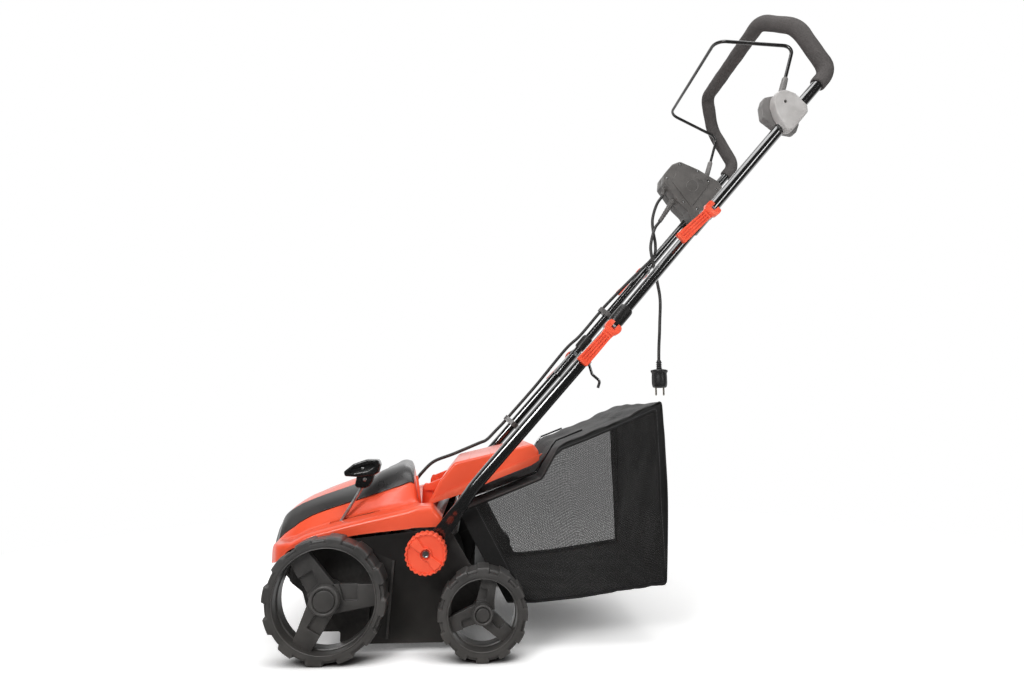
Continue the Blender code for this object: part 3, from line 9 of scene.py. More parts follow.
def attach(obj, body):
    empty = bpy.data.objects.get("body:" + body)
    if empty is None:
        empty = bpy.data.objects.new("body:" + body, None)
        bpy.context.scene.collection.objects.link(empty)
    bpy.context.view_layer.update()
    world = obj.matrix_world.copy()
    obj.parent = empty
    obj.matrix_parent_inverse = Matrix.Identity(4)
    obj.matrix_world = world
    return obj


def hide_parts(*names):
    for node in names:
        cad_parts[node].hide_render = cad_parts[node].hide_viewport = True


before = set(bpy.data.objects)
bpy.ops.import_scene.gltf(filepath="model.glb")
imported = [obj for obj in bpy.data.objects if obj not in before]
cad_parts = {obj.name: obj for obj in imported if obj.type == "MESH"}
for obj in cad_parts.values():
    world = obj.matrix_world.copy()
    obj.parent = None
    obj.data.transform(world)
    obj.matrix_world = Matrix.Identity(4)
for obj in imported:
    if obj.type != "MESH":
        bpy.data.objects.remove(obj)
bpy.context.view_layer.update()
shift = np.array([-0.4045, 0.0, 0.0])
turn = 2 * math.pi
sharpAngle = 38  # edges sharper than this many degrees stay sharp


def linked(name, data):
    obj = bpy.data.objects.new(name, data)
    bpy.context.scene.collection.objects.link(obj)
    return obj


cameraView = {"place": (-0.1559, -1.275, 0.387), "pitch": 7.72, "yaw": -3.15, "lens": 20.967}

camera = linked("camera", bpy.data.cameras.new("camera"))
camera.location = cameraView["place"]
camera.rotation_euler = (math.radians(90 + cameraView["pitch"]), 0, math.radians(cameraView["yaw"]))
camera.data.sensor_width = 36
camera.data.lens = cameraView["lens"]
bpy.context.scene.camera = camera
bpy.context.scene.view_settings.view_transform = "Standard"


# An area lamp looking at a point. along turns its long side parallel to a direction.
def lamp(name, place, aim, size, power, along=None):
    data = bpy.data.lights.new(name, "AREA")
    data.shape = "RECTANGLE"
    data.size, data.size_y = size
    data.energy = power
    obj = linked(name, data)
    obj.location = place
    way = np.array(aim, float) - np.array(place, float)
    swing, tilt = math.atan2(-way[0], way[1]), math.atan2(math.hypot(way[0], way[1]), -way[2])
    facing = Matrix.Rotation(swing, 3, "Z") @ Matrix.Rotation(tilt, 3, "X")
    if along:
        local = facing.transposed() @ Vector(along)
        facing = facing @ Matrix.Rotation(math.atan2(local.y, local.x), 3, "Z")
    obj.rotation_euler = facing.to_euler()


studio = {"key": 28, "strip": 11, "fill": 12, "top": 30, "back": 9, "sky": 0.34, "mirror": 0.06, "lift": 0.42,
          "wideShadow": 0.3, "closeShadow": 0.07, "backdrop": (0.75, 1.7), "floorReach": 30}
lamp("keyLight", (-1.3, -2.2, 1.7), (0, 0, 0.45), (0.9, 0.6), studio["key"])
lamp("stripLight", (-1.23, -1.76, 1.92), (0, -0.22, 0.55), (1.9, 0.15), studio["strip"], along=(0.65, 0, 0.76))
lamp("fillLight", (1.9, -2.3, 1.2), (0, 0, 0.5), (0.35, 1.2), studio["fill"])
lamp("topLight", (0.1, -0.5, 2.8), (0, 0, 0.3), (2.0, 1.4), studio["top"])
lamp("backLight", (0.3, 2.6, 1.9), (0, 0, 0.5), (2.0, 1.2), studio["back"])
print("camera and lights")


# A node of a material: plain values go to its inputs, and sockets are linked to them. The functions below it
# each add one kind of node and give back its output.
def node(tree, kind, inputs, **settings):
    made = tree.nodes.new("ShaderNode" + kind)
    for key, value in settings.items():
        setattr(made, key, value)
    for key, value in inputs.items():
        if isinstance(value, bpy.types.NodeSocket):
            tree.links.new(value, made.inputs[key])
        else:
            made.inputs[key].default_value = value
    return made


def between(tree, value, fromLow, fromHigh, toLow, toHigh):
    inputs = {"Value": value, "From Min": fromLow, "From Max": fromHigh, "To Min": toLow, "To Max": toHigh}
    return node(tree, "MapRange", inputs, clamp=True).outputs["Result"]


def sums(tree, operation, first, second):
    return node(tree, "Math", {0: first, 1: second}, operation=operation).outputs[0]


def plus(tree, first, second):
    return sums(tree, "ADD", first, second)


def times(tree, first, second):
    return sums(tree, "MULTIPLY", first, second)


def clearMaterial(name):
    mat = bpy.data.materials.new(name)
    mat.use_nodes = True
    tree = mat.node_tree
    tree.nodes.clear()
    return mat, tree


def mixed(tree, factor, first, second):
    made = node(tree, "Mix", {}, data_type="RGBA")
    tree.links.new(factor, made.inputs["Factor"])
    for key, value in ((6, first), (7, second)):
        if isinstance(value, bpy.types.NodeSocket):
            tree.links.new(value, made.inputs[key])
        else:
            made.inputs[key].default_value = (*value, 1)
    return made.outputs[2]


# Whether a ray comes from the camera or through a surface, and whether it comes from a mirror.
def seenRays(tree):
    rays = node(tree, "LightPath", {}).outputs
    return sums(tree, "MAXIMUM", rays["Is Camera Ray"], rays["Is Transmission Ray"]), rays["Is Glossy Ray"]


def objectPlace(tree):
    return node(tree, "SeparateXYZ", {"Vector": node(tree, "TexCoord", {}).outputs["Object"]}).outputs


def glowing(tree, strength):
    return node(tree, "Emission", {"Color": (1, 1, 1, 1), "Strength": strength}).outputs[0]


# The camera sees plain white all round. Mirrors see the white backdrop behind the machine and the dim room
# on the camera's side, and matt surfaces get a low, even light.
world = bpy.data.worlds.new("studio")
bpy.context.scene.world = world
world.use_nodes = True
tree = world.node_tree
tree.nodes.clear()
behind = objectPlace(tree)["Y"]
seen, glossy = seenRays(tree)
mirrorLevel = between(tree, behind, 0.0, 0.35, studio["mirror"], 1)
level = plus(tree, times(tree, glossy, mirrorLevel), times(tree, sums(tree, "SUBTRACT", 1, glossy), studio["sky"]))
level = plus(tree, times(tree, level, sums(tree, "SUBTRACT", 1, seen)), seen)
sky = node(tree, "Background", {"Color": (1, 1, 1, 1), "Strength": level})
tree.links.new(sky.outputs[0], node(tree, "OutputWorld", {}).inputs["Surface"])

# White paper: near the machine it shows its real shading, lifted by a glow that fades where the floor is
# covered, which paints shadow under the machine, and close under the machine its colour turns nearly black,
# a painted shadow too; further out the seen floor turns into the white backdrop. Mirrors see it white
# behind the machine and dim on the camera's side, as they do the room.
floorMaterial, tree = clearMaterial("floorPaper")
seen, glossy = seenRays(tree)
cover = node(tree, "AmbientOcclusion", {"Distance": studio["wideShadow"]}, samples=12).outputs["AO"]
close = node(tree, "AmbientOcclusion", {"Distance": studio["closeShadow"]}, samples=12).outputs["AO"]
# Painted shadow: where the close occlusion is low, the paper's colour turns nearly black.
shade = mixed(tree, between(tree, close, 0.15, 0.7, 0, 1), (0.02, 0.012, 0.011), (0.9, 0.895, 0.89))
paper = node(tree, "BsdfPrincipled", {"Base Color": shade, "Roughness": 0.9, "Specular IOR Level": 0.1})
# Painted shadow: the glow fades where the wide and the close occlusion find the floor covered.
lift = times(tree, between(tree, cover, 0.03, 0.4, 0, studio["lift"]), between(tree, close, 0.3, 0.9, 0, 1))
lift = times(tree, lift, seen)
lifted = node(tree, "AddShader", {0: paper.outputs[0], 1: glowing(tree, lift)})
place = objectPlace(tree)
away = sums(tree, "SQRT", plus(tree, sums(tree, "POWER", place["X"], 2), sums(tree, "POWER", place["Y"], 2)), 0)
far = times(tree, between(tree, away, *studio["backdrop"], 0, 1), seen)
paperMix = node(tree, "MixShader", {0: far, 1: lifted.outputs[0], 2: glowing(tree, 1)})
mirrorLevel = between(tree, place["Y"], -0.3, 0.1, studio["mirror"], 1)
paperMix = node(tree, "MixShader", {0: glossy, 1: paperMix.outputs[0], 2: glowing(tree, mirrorLevel)})
tree.links.new(paperMix.outputs[0], node(tree, "OutputMaterial", {}).inputs["Surface"])
floorMesh = bpy.data.meshes.new("floor")
edge = studio["floorReach"]
floorMesh.from_pydata([(-edge, -edge, 0), (edge, -edge, 0), (edge, edge, 0), (-edge, edge, 0)], [], [(0, 1, 2, 3)])
floorMesh.materials.append(floorMaterial)
floor = linked("floor", floorMesh)


def smoothed(obj, angle=sharpAngle):
    obj.data.shade_smooth()
    obj.data.set_sharp_from_angle(angle=math.radians(angle))
    return obj


# A mesh from points (n, 3) counted from the front wheel axis and lists of faces. Doubles are merged and
# faces turned outward, then edges sharper than the angle are kept sharp.
def meshObject(name, points, faces, angle=sharpAngle):
    mesh = bpy.data.meshes.new(name)
    mesh.from_pydata((np.asarray(points, float).reshape(-1, 3) + shift).tolist(), [], faces)
    work = bmesh.new()
    work.from_mesh(mesh)
    bmesh.ops.remove_doubles(work, verts=work.verts, dist=1e-6)
    bmesh.ops.recalc_face_normals(work, faces=work.faces)
    work.to_mesh(mesh)
    work.free()
    return smoothed(linked(name, mesh), angle)


# Quads of a grid of rows and columns. A closed direction joins its last line to its first.
def gridFaces(rows, columns, closeRows=False, closeColumns=False):
    index = np.arange(rows * columns).reshape(rows, columns)
    i = np.arange(rows if closeRows else rows - 1)
    j = np.arange(columns if closeColumns else columns - 1)
    iNext, jNext = (i + 1) % rows, (j + 1) % columns
    corners = [index[np.ix_(i, j)], index[np.ix_(i, jNext)], index[np.ix_(iNext, jNext)], index[np.ix_(iNext, j)]]
    return np.stack(corners, -1).reshape(-1, 4).tolist()


def gridObject(name, grid, closeRows=False, closeColumns=False, caps=False, angle=sharpAngle):
    rows, columns = grid.shape[:2]
    faces = gridFaces(rows, columns, closeRows, closeColumns)
    if caps:
        last = (rows - 1) * columns
        faces += [list(range(columns)), list(range(last, last + columns))]
    return meshObject(name, grid.reshape(-1, 3), faces, angle)


# Length of a polyline up to each of its points.
def lengthsOf(points):
    return np.concatenate([[0], np.cumsum(np.linalg.norm(np.diff(points, axis=0), axis=1))])


def pointsAt(points, goals):
    return np.stack([np.interp(goals, lengthsOf(points), points[:, k]) for k in range(points.shape[1])], 1)


# Points of a polyline resampled at even steps along its length.
def evenly(points, count):
    points = np.asarray(points, float)
    return pointsAt(points, np.linspace(0, lengthsOf(points)[-1], count))


# A polyline with each corner replaced by an arc that touches both sides. One radius for all, or one each;
# closed joins the end to the start.
def softCorners(points, radius, steps=5, closed=True):
    points = np.asarray(points, float)
    radii = np.broadcast_to(radius, len(points))
    made = []
    for k, here in enumerate(points):
        if (not closed and k in (0, len(points) - 1)) or radii[k] <= 0:
            made.append(here[None])
            continue
        before = points[k - 1] - here
        after = points[(k + 1) % len(points)] - here
        room = min(np.linalg.norm(before), np.linalg.norm(after)) * 0.49
        before, after = before / np.linalg.norm(before), after / np.linalg.norm(after)
        half = math.acos(np.clip(before @ after, -1, 1)) / 2
        if half > 1.55:
            made.append(here[None])
            continue
        reach = min(radii[k] / math.tan(half), room)
        middle = here + (before + after) / np.linalg.norm(before + after) * reach / math.cos(half)
        first, last = here + before * reach - middle, here + after * reach - middle
        t = np.linspace(0, 1, steps + 1)[:, None]
        arm = first * (1 - t) + last * t
        made.append(middle + arm / np.linalg.norm(arm, axis=1, keepdims=True) * np.linalg.norm(first))
    return np.concatenate(made)


# Smooth curve through the given points (Catmull-Rom), resampled evenly.
def smoothRoute(points, count):
    p = np.asarray(points, float)
    p = np.concatenate([2 * p[:1] - p[1:2], p, 2 * p[-1:] - p[-2:-1]])
    t = np.linspace(0, 1, 25)[:-1, None, None]
    a, b, c, d = p[:-3], p[1:-2], p[2:-1], p[3:]
    curve = 0.5 * (2 * b + (c - a) * t + (2 * a - 5 * b + 4 * c - d) * t**2 + (3 * b - a - 3 * c + d) * t**3)
    curve = np.concatenate([curve.transpose(1, 0, 2).reshape(-1, p.shape[1]), c[-1:]])
    return evenly(curve, count)


def circlePoints(count):
    t = np.arange(count) / count * turn
    return np.stack([np.cos(t), np.sin(t)], 1)


# Side and up arms along a path, carried from ring to ring without twist.
def pathFrames(path):
    ahead = np.gradient(path, axis=0)
    ahead /= np.linalg.norm(ahead, axis=1, keepdims=True)
    side = np.array([0.0, 1.0, 0.0]) if abs(ahead[0][1]) < 0.9 else np.array([1.0, 0.0, 0.0])
    sides = []
    for t in ahead:
        side = side - t * (side @ t)
        side = side / np.linalg.norm(side)
        sides.append(side)
    sides = np.array(sides)
    return ahead, sides, np.cross(sides, ahead)


# A round bar along a path: at each point a ring of the given radius, one number or one for each point.
# section (points, count, 2) replaces the round ring.
def sweep(name, path, radius=0.01, count=24, section=None, angle=50):
    path = np.asarray(path, float)
    _, side, up = pathFrames(path)
    if section is None:
        ring = circlePoints(count)
        section = np.broadcast_to(radius, len(path))[:, None, None] * ring[None]
    grid = path[:, None] + section[..., :1] * side[:, None] + section[..., 1:] * up[:, None]
    return gridObject(name, grid, closeColumns=True, caps=True, angle=angle)


# A profile of (radius, height) turned about an axis along y, through (x, z), or an upright one, through (x, y).
# Radius 0 closes to a pole.
def lathe(name, centre, profile, count=96, angle=sharpAngle, upright=False):
    profile = np.asarray(profile, float)
    ring = circlePoints(count)
    grid = np.empty((count, len(profile), 3))
    grid[..., 0] = centre[0] + ring[:, :1] * profile[:, 0]
    grid[..., 1 if upright else 2] = centre[1] + ring[:, 1:] * profile[:, 0]
    grid[..., 2 if upright else 1] = profile[:, 1]
    return gridObject(name, grid, closeRows=True, closeColumns=bool(profile[0, 0] > 1e-7), angle=angle)


# A flat outline given thickness square to it. place maps (a, depth, b) to a point; without it a is x, b is z
# and the depth lies along y.
def plate(name, outline, low, high, edge=0.0, segments=3, place=None):
    outline = np.asarray(outline, float)
    count = len(outline)
    points = np.concatenate([np.insert(outline, 1, low, 1), np.insert(outline, 1, high, 1)])
    if place:
        points = np.stack(place(*points.T), 1)
    faces = [list(range(count)), list(range(count, 2 * count))] + gridFaces(2, count, closeColumns=True)
    obj = meshObject(name, points, faces)
    return roundEdges(obj, edge, segments) if edge else obj


def oblong(left, right, low, high):
    return [(left, low), (right, low), (right, high), (left, high)]


# A plain cylinder to cut with.
def drill(centre, radius, low, high, count=32, upright=False):
    return lathe("drill", centre, [(0, low), (radius, low), (radius, high), (0, high)], count, upright=upright)


# Modifiers are worked into the mesh at once, so that a finished piece is plain.
def settled(obj):
    graph = bpy.context.evaluated_depsgraph_get()
    mesh = bpy.data.meshes.new_from_object(obj.evaluated_get(graph))
    obj.modifiers.clear()
    obj.data = mesh
    return obj


def roundEdges(obj, width, segments=3, limit=32):
    modifier = obj.modifiers.new("edges", "BEVEL")
    modifier.width = width
    modifier.segments = segments
    modifier.limit_method = "ANGLE"
    modifier.angle_limit = math.radians(limit)
    modifier.harden_normals = False
    settled(obj)
    return smoothed(obj)


def withTool(obj, tool, operation):
    modifier = obj.modifiers.new("tool", "BOOLEAN")
    modifier.operation = operation
    modifier.solver = "EXACT"
    modifier.object = tool
    settled(obj)
    bpy.data.objects.remove(tool, do_unlink=True)
    return smoothed(obj)


def cutOut(obj, *tools):
    for tool in tools:
        withTool(obj, tool, "DIFFERENCE")
    return obj


# Several objects made one mesh, without any Boolean.
def joined(name, *parts):
    work = bmesh.new()
    for part in parts:
        work.from_mesh(part.data)
        bpy.data.objects.remove(part, do_unlink=True)
    mesh = bpy.data.meshes.new(name)
    work.to_mesh(mesh)
    work.free()
    return smoothed(linked(name, mesh))


def mirrored(obj, name):
    mesh = obj.data.copy()
    mesh.transform(Matrix.Diagonal((1, -1, 1, 1)))
    mesh.flip_normals()
    return linked(name, mesh)


# The finished piece gets its material, rides on its body and stands for CAD nodes.
def fit(obj, look, slotName, body, *nodes):
    obj.data.materials.clear()
    obj.data.materials.append(mats[look])
    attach(obj, body)
    if nodes:
        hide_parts(*nodes)
    return obj


# A near piece and its mirrored far twin. "side" in the names of body and node becomes near or far.
def fitBoth(near, look, slotName, body, cadNode):
    twin = mirrored(near, near.name.replace("Near", "Far"))
    for piece, side in ((near, "near"), (twin, "far")):
        fit(piece, look, slotName, body.replace("side", side), cadNode.replace("side", side))


# Outline in (along, across) moved to a centre (x, z) and turned to an angle in degrees.
def turned(outline, centre, angle):
    t = math.radians(angle)
    outline = np.asarray(outline, float)
    s, w = outline[:, 0], outline[:, 1]
    return np.stack([centre[0] + s * math.cos(t) - w * math.sin(t), centre[1] + s * math.sin(t) + w * math.cos(t)], 1)


def smoothStep(value, low, high):
    t = np.clip((value - low) / (high - low), 0, 1)
    return t * t * (3 - 2 * t)


def noise(tree, where, scale, detail=3.0):
    inputs = {"Vector": where, "Scale": scale, "Detail": detail, "Roughness": 0.55}
    return node(tree, "TexNoise", inputs).outputs["Fac"]


# A bump, laid over the normal of an earlier one.
def bumps(tree, strength, distance, height, normal=None):
    inputs = {"Strength": strength, "Distance": distance, "Height": height}
    if normal:
        inputs["Normal"] = normal
    return node(tree, "Bump", inputs).outputs[0]


# The surface shader, wired to the output. Sockets are named with _ for each space.
def shaded(tree, **inputs):
    sockets = {key.replace("_", " "): value for key, value in inputs.items()}
    shader = node(tree, "BsdfPrincipled", sockets)
    tree.links.new(shader.outputs[0], node(tree, "OutputMaterial", {}).inputs["Surface"])
    return shader


# Object coordinates, stretched by the three factors.
def objectSpace(tree, stretch=(1, 1, 1)):
    place = node(tree, "TexCoord", {})
    return node(tree, "Mapping", {"Vector": place.outputs["Object"], "Scale": stretch}).outputs["Vector"]


# A moulded, painted or metal surface: colour that wanders between two tones, roughness that varies with it,
# pale rubbed edges, dust near the ground and a fine grain in the bump.
def finish(name, look):
    mat, tree = clearMaterial(name)
    where = objectSpace(tree, look.get("stretch", (1, 1, 1)))
    slow = noise(tree, where, look["patch"], 4)
    middle = noise(tree, where, look.get("speckle", 160), 3)
    colour = mixed(tree, between(tree, slow, 0.35, 0.65, 0, 1), look["dark"], look["light"])
    if look.get("worn"):
        edge = node(tree, "NewGeometry", {}).outputs["Pointiness"]
        rub, uneven = between(tree, edge, 0.53, 0.6, 0, look["wear"]), between(tree, middle, 0.3, 0.7, 0.4, 1)
        colour = mixed(tree, times(tree, rub, uneven), colour, look["worn"])
    if look.get("dust"):
        low = between(tree, objectPlace(tree)["Z"], 0.0, 0.16, look["dust"], 0)
        uneven = between(tree, slow, 0.3, 0.7, 0.3, 1)
        colour = mixed(tree, times(tree, low, uneven), colour, (0.2, 0.17, 0.13))
    rough = look["rough"]
    spread = look.get("spread", 0.06)
    blotches = plus(tree, slow, times(tree, middle, 0.5))
    roughness = between(tree, blotches, 0.45, 1.05, rough - spread, rough + spread)
    fine = noise(tree, where, look["grain"], 2)
    wave = bumps(tree, look.get("wave", 0.05), 0.0006, slow, bumps(tree, look["bump"], 0.0002, fine))
    shader = shaded(tree, Base_Color=colour, Roughness=roughness, Normal=wave)
    for key, socket in shaderSockets.items():
        if key in look:
            shader.inputs[socket].default_value = look[key]
    mat.diffuse_color = (*look["light"], 1)
    return mat


# Each surface: dark tone, light tone, roughness, size of the patches, grain and bump, then what else it needs.
lookKeys = ("dark", "light", "rough", "patch", "grain", "bump")
shaderSockets = {"specular": "Specular IOR Level", "coat": "Coat Weight", "coatRough": "Coat Roughness",
                 "coatIor": "Coat IOR", "metal": "Metallic"}
looks = {
    "orangeGloss": ((0.8, 0.082, 0.03), (0.87, 0.105, 0.04), 0.34, 7, 420, 0.05,
        {"wave": 0.04, "worn": (0.95, 0.3, 0.18), "wear": 0.25, "coat": 0.35, "coatRough": 0.18, "specular": 0.4}),
    "orangeSatin": ((0.8, 0.078, 0.03), (0.87, 0.1, 0.042), 0.42, 18, 900, 0.1,
        {"worn": (0.95, 0.34, 0.22), "wear": 0.35, "specular": 0.4}),
    "deckBlack": ((0.014, 0.013, 0.0125), (0.028, 0.026, 0.025), 0.42, 9, 1300, 0.22,
        {"worn": (0.12, 0.115, 0.11), "wear": 0.5, "dust": 0.1, "specular": 0.35}),
    "bandBlack": ((0.03, 0.029, 0.029), (0.05, 0.049, 0.048), 0.3, 9, 1500, 0.08,
        {"worn": (0.2, 0.19, 0.185), "wear": 0.4}),
    "wheelGrey": ((0.038, 0.0365, 0.0355), (0.062, 0.0595, 0.058), 0.4, 16, 1200, 0.2,
        {"worn": (0.22, 0.21, 0.205), "wear": 0.5, "dust": 0.12, "specular": 0.4}),
    "boxGrey": ((0.088, 0.083, 0.079), (0.128, 0.121, 0.115), 0.5, 25, 1600, 0.25,
        {"worn": (0.3, 0.29, 0.28), "wear": 0.5, "specular": 0.35}),
    "boxBlack": ((0.01, 0.0095, 0.009), (0.018, 0.017, 0.016), 0.34, 25, 1600, 0.22,
        {"worn": (0.18, 0.17, 0.165), "wear": 0.6}),
    "gripBlack": ((0.004, 0.004, 0.004), (0.008, 0.008, 0.008), 0.24, 25, 1600, 0.06,
        {"worn": (0.1, 0.095, 0.09), "wear": 0.5, "coat": 0.4, "coatRough": 0.1}),
    "glossPaint": ((0.004, 0.004, 0.004), (0.007, 0.007, 0.007), 0.16, 12, 500, 0.03,
        {"wave": 0.03, "worn": (0.08, 0.08, 0.085), "wear": 0.2, "spread": 0.03, "specular": 0.9, "coat": 1.0,
         "coatRough": 0.04, "coatIor": 1.7}),
    "wirePaint": ((0.006, 0.006, 0.006), (0.011, 0.011, 0.011), 0.24, 30, 700, 0.06,
        {"coat": 0.8, "coatRough": 0.1, "coatIor": 1.6}),
    "cordRubber": ((0.02, 0.019, 0.018), (0.036, 0.034, 0.033), 0.46, 30, 1500, 0.2, {}),
    "bracketGrey": ((0.4, 0.385, 0.375), (0.5, 0.485, 0.475), 0.42, 30, 1400, 0.15, {"specular": 0.5}),
    "midGrey": ((0.15, 0.145, 0.14), (0.21, 0.2, 0.195), 0.48, 30, 1400, 0.18, {}),
    "pipingBlack": ((0.008, 0.008, 0.008), (0.018, 0.0175, 0.017), 0.6, 30, 900, 0.35, {"specular": 0.25}),
    "screwSteel": ((0.5, 0.5, 0.5), (0.68, 0.68, 0.68), 0.3, 120, 2500, 0.2,
        {"speckle": 900, "stretch": (1, 1, 3), "metal": 1.0}),
    "zincSteel": ((0.52, 0.53, 0.54), (0.74, 0.75, 0.76), 0.32, 60, 1800, 0.25, {"speckle": 500, "metal": 1.0}),
    "knifeSteel": ((0.2, 0.2, 0.21), (0.38, 0.38, 0.39), 0.42, 45, 1500, 0.3,
        {"speckle": 500, "dust": 0.2, "metal": 0.9}),
    "bailRodBlack": ((0.03, 0.029, 0.029), (0.055, 0.054, 0.053), 0.22, 60, 1500, 0.12,
        {"metal": 0.6, "coat": 0.5, "coatRough": 0.08}),
    "motorGrey": ((0.16, 0.16, 0.165), (0.24, 0.24, 0.245), 0.5, 40, 1000, 0.35, {"metal": 0.7}),
    "plugBlack": ((0.012, 0.012, 0.012), (0.021, 0.021, 0.022), 0.42, 40, 1300, 0.25,
        {"worn": (0.12, 0.12, 0.12), "wear": 0.4}),
    "pinMetal": ((0.62, 0.58, 0.5), (0.78, 0.74, 0.66), 0.28, 90, 2000, 0.1, {"metal": 1.0}),
}
mats = {name: finish(name, dict(zip(lookKeys, row), **row[-1])) for name, row in looks.items()}


# Closed-cell foam: round cells of about 1.5 mm sunk into the skin, darker in their hollows as painted shade and paler
# on their rims.
def foamMaterial(name, dark, light, cell):
    mat, tree = clearMaterial(name)
    where = objectSpace(tree)
    cells = node(tree, "TexVoronoi", {"Vector": where, "Scale": cell}).outputs["Distance"]
    slow = noise(tree, where, 30, 4)
    # Painted shade: each cell's colour darkens towards its sunk middle; slow noise varies the tone.
    shade = times(tree, between(tree, cells, 0.1, 0.6, 0.2, 1), between(tree, slow, 0.3, 0.7, 0.55, 1))
    colour = mixed(tree, shade, dark, light)
    coarse = bumps(tree, 0.55, 0.0006, cells)
    fine = bumps(tree, 0.25, 0.0003, noise(tree, where, 1800, 3), coarse)
    shaded(tree, Base_Color=colour, Roughness=0.92, Specular_IOR_Level=0.25, Normal=fine)
    return mat


mats["foam"] = foamMaterial("foam", (0.05, 0.046, 0.045), (0.12, 0.111, 0.108), 620)
print("materials")

cables = {"thick": 0.0076, "motorSteps": 170, "powerSteps": 60}


# Points beside a tube: s along it from a start, off square to it on its upper side.
def beside(start, slope, s, off, y):
    t = math.radians(slope)
    return (start[0] + s * math.cos(t) - off * math.sin(t), y, start[1] + s * math.sin(t) + off * math.cos(t))


# A cable is a round section carried along a smooth curve through its route; faint lengthwise waves keep it
# from looking ruled.
def cablePiece(name, route, steps):
    path = smoothRoute(route, steps)
    t = np.linspace(0, 1, steps)
    ends = smoothStep(np.minimum(t, 1 - t), 0.0, 0.1)
    path[:, 1] += 0.0004 * np.sin(t * 37) * ends
    return sweep(name, path, cables["thick"] / 2, 20), path


clipAlong, clipHalf = 0.1321, 0.02
middleSide, lowerSide = ((0.486, 0.555), 49.4), ((0.3343, 0.3827), 48.6)  # start and slope of the two tubes
motorRoute = [
    (0.7238, 0.195, 0.9738), (0.7067, 0.193, 0.9487), (0.6941, 0.191, 0.9099), (0.693, 0.187, 0.8754),
    (0.696, 0.1815, 0.8374), (0.69, 0.1765, 0.805), (0.664, 0.1765, 0.778), (0.62, 0.185, 0.735),
    *[beside(*middleSide, s, 0.02, 0.198) for s in (clipAlong + clipHalf, clipAlong, clipAlong - clipHalf, 0.045)],
    (0.464, 0.207, 0.568), *[beside(*lowerSide, s, 0.021, 0.22) for s in (0.11, 0.02, 0.0, -0.018)],
    (0.292, 0.208, 0.369), (0.268, 0.182, 0.346), (0.248, 0.1715, 0.3375), (0.1892, 0.17, 0.313),
    (0.144, 0.164, 0.296), (0.118, 0.156, 0.272), (0.105, 0.149, 0.255), (0.102, 0.138, 0.248),
]
powerRoute = [
    (0.711, 0.1892, 0.9004), (0.6977, 0.18, 0.8836), (0.6873, 0.17, 0.8619), (0.6787, 0.1635, 0.8296),
    (0.6791, 0.163, 0.8073), (0.6844, 0.163, 0.7778), (0.692, 0.163, 0.7337), (0.6978, 0.163, 0.69),
    (0.694, 0.1635, 0.6142), (0.691, 0.165, 0.5642), (0.69, 0.165, 0.5376),
]
motorCable, motorPath = cablePiece("motorCable", motorRoute, cables["motorSteps"])
fit(motorCable, "cordRubber", "rubber", "lower_handle", "motor_cable")
powerCord, powerPath = cablePiece("powerCord", powerRoute, cables["powerSteps"])
fit(powerCord, "cordRubber", "rubber", "upper_section", "power_cord")

plugLook = {"ribs": 4, "ribPitch": 0.0045, "pins": 0.0095}
plugAt, plugTop = (0.69, 0.165), 0.5376
ribStart = -0.003 - plugLook["ribPitch"] * np.arange(plugLook["ribs"])[:, None]
ribs = ribStart + np.array([0, -0.0006, -0.0022, -0.0028])
ribRadius = np.tile([0.0054, 0.0071, 0.0071, 0.0054], plugLook["ribs"])
plugProfile = np.concatenate([
    [(0, 0.0008), (0.0046, 0.0008), (0.0052, 0)], np.stack([ribRadius, ribs.reshape(-1)], 1),
    [(0.0075, -0.0205), (0.015, -0.0222), (0.0198, -0.0235), (0.0205, -0.0245), (0.0205, -0.0278), (0.0198, -0.0288),
     (0.0186, -0.03), (0.018, -0.033), (0.0185, -0.04), (0.0185, -0.055), (0.018, -0.06), (0.0168, -0.0645),
     (0.015, -0.0662), (0.014, -0.0665), (0.0138, -0.065), (0, -0.065)]])
plugProfile[:, 1] += plugTop
plugBody = lathe("plugBody", plugAt, plugProfile, 64, upright=True)
for side in (-1, 1):
    cutOut(plugBody, drill((plugAt[0] + side * 0.0205, plugAt[1]), 0.0042, 0.514, 0.472, upright=True))
roundEdges(plugBody, 0.0005, 2)
fit(plugBody, "plugBlack", "rubber", "upper_section", "plug")
pinProfile = [(0, -0.06), (0.0024, -0.06), (0.0024, -0.0835), (0.0019, -0.085), (0.001, -0.086), (0, -0.086)]
pins = [lathe("pin", (plugAt[0] + side * plugLook["pins"], plugAt[1]), np.add(pinProfile, (0, plugTop)), 32,
              upright=True) for side in (-1, 1)]
plugPins = fit(joined("plugPins", *pins), "pinMetal", "zinc_steel", "upper_section")


# Share of a side pocket at each angle: 1 in the pocket's floor, 0 on the raised block.
def pocketShare(angle, look):
    span = 360 / look["blocks"]
    away = np.abs((angle - look["pocketAt"] + span / 2) % span - span / 2)
    return 1 - smoothStep(away, look["pocket"] / 2 - 0.9, look["pocket"] / 2 + 0.3)


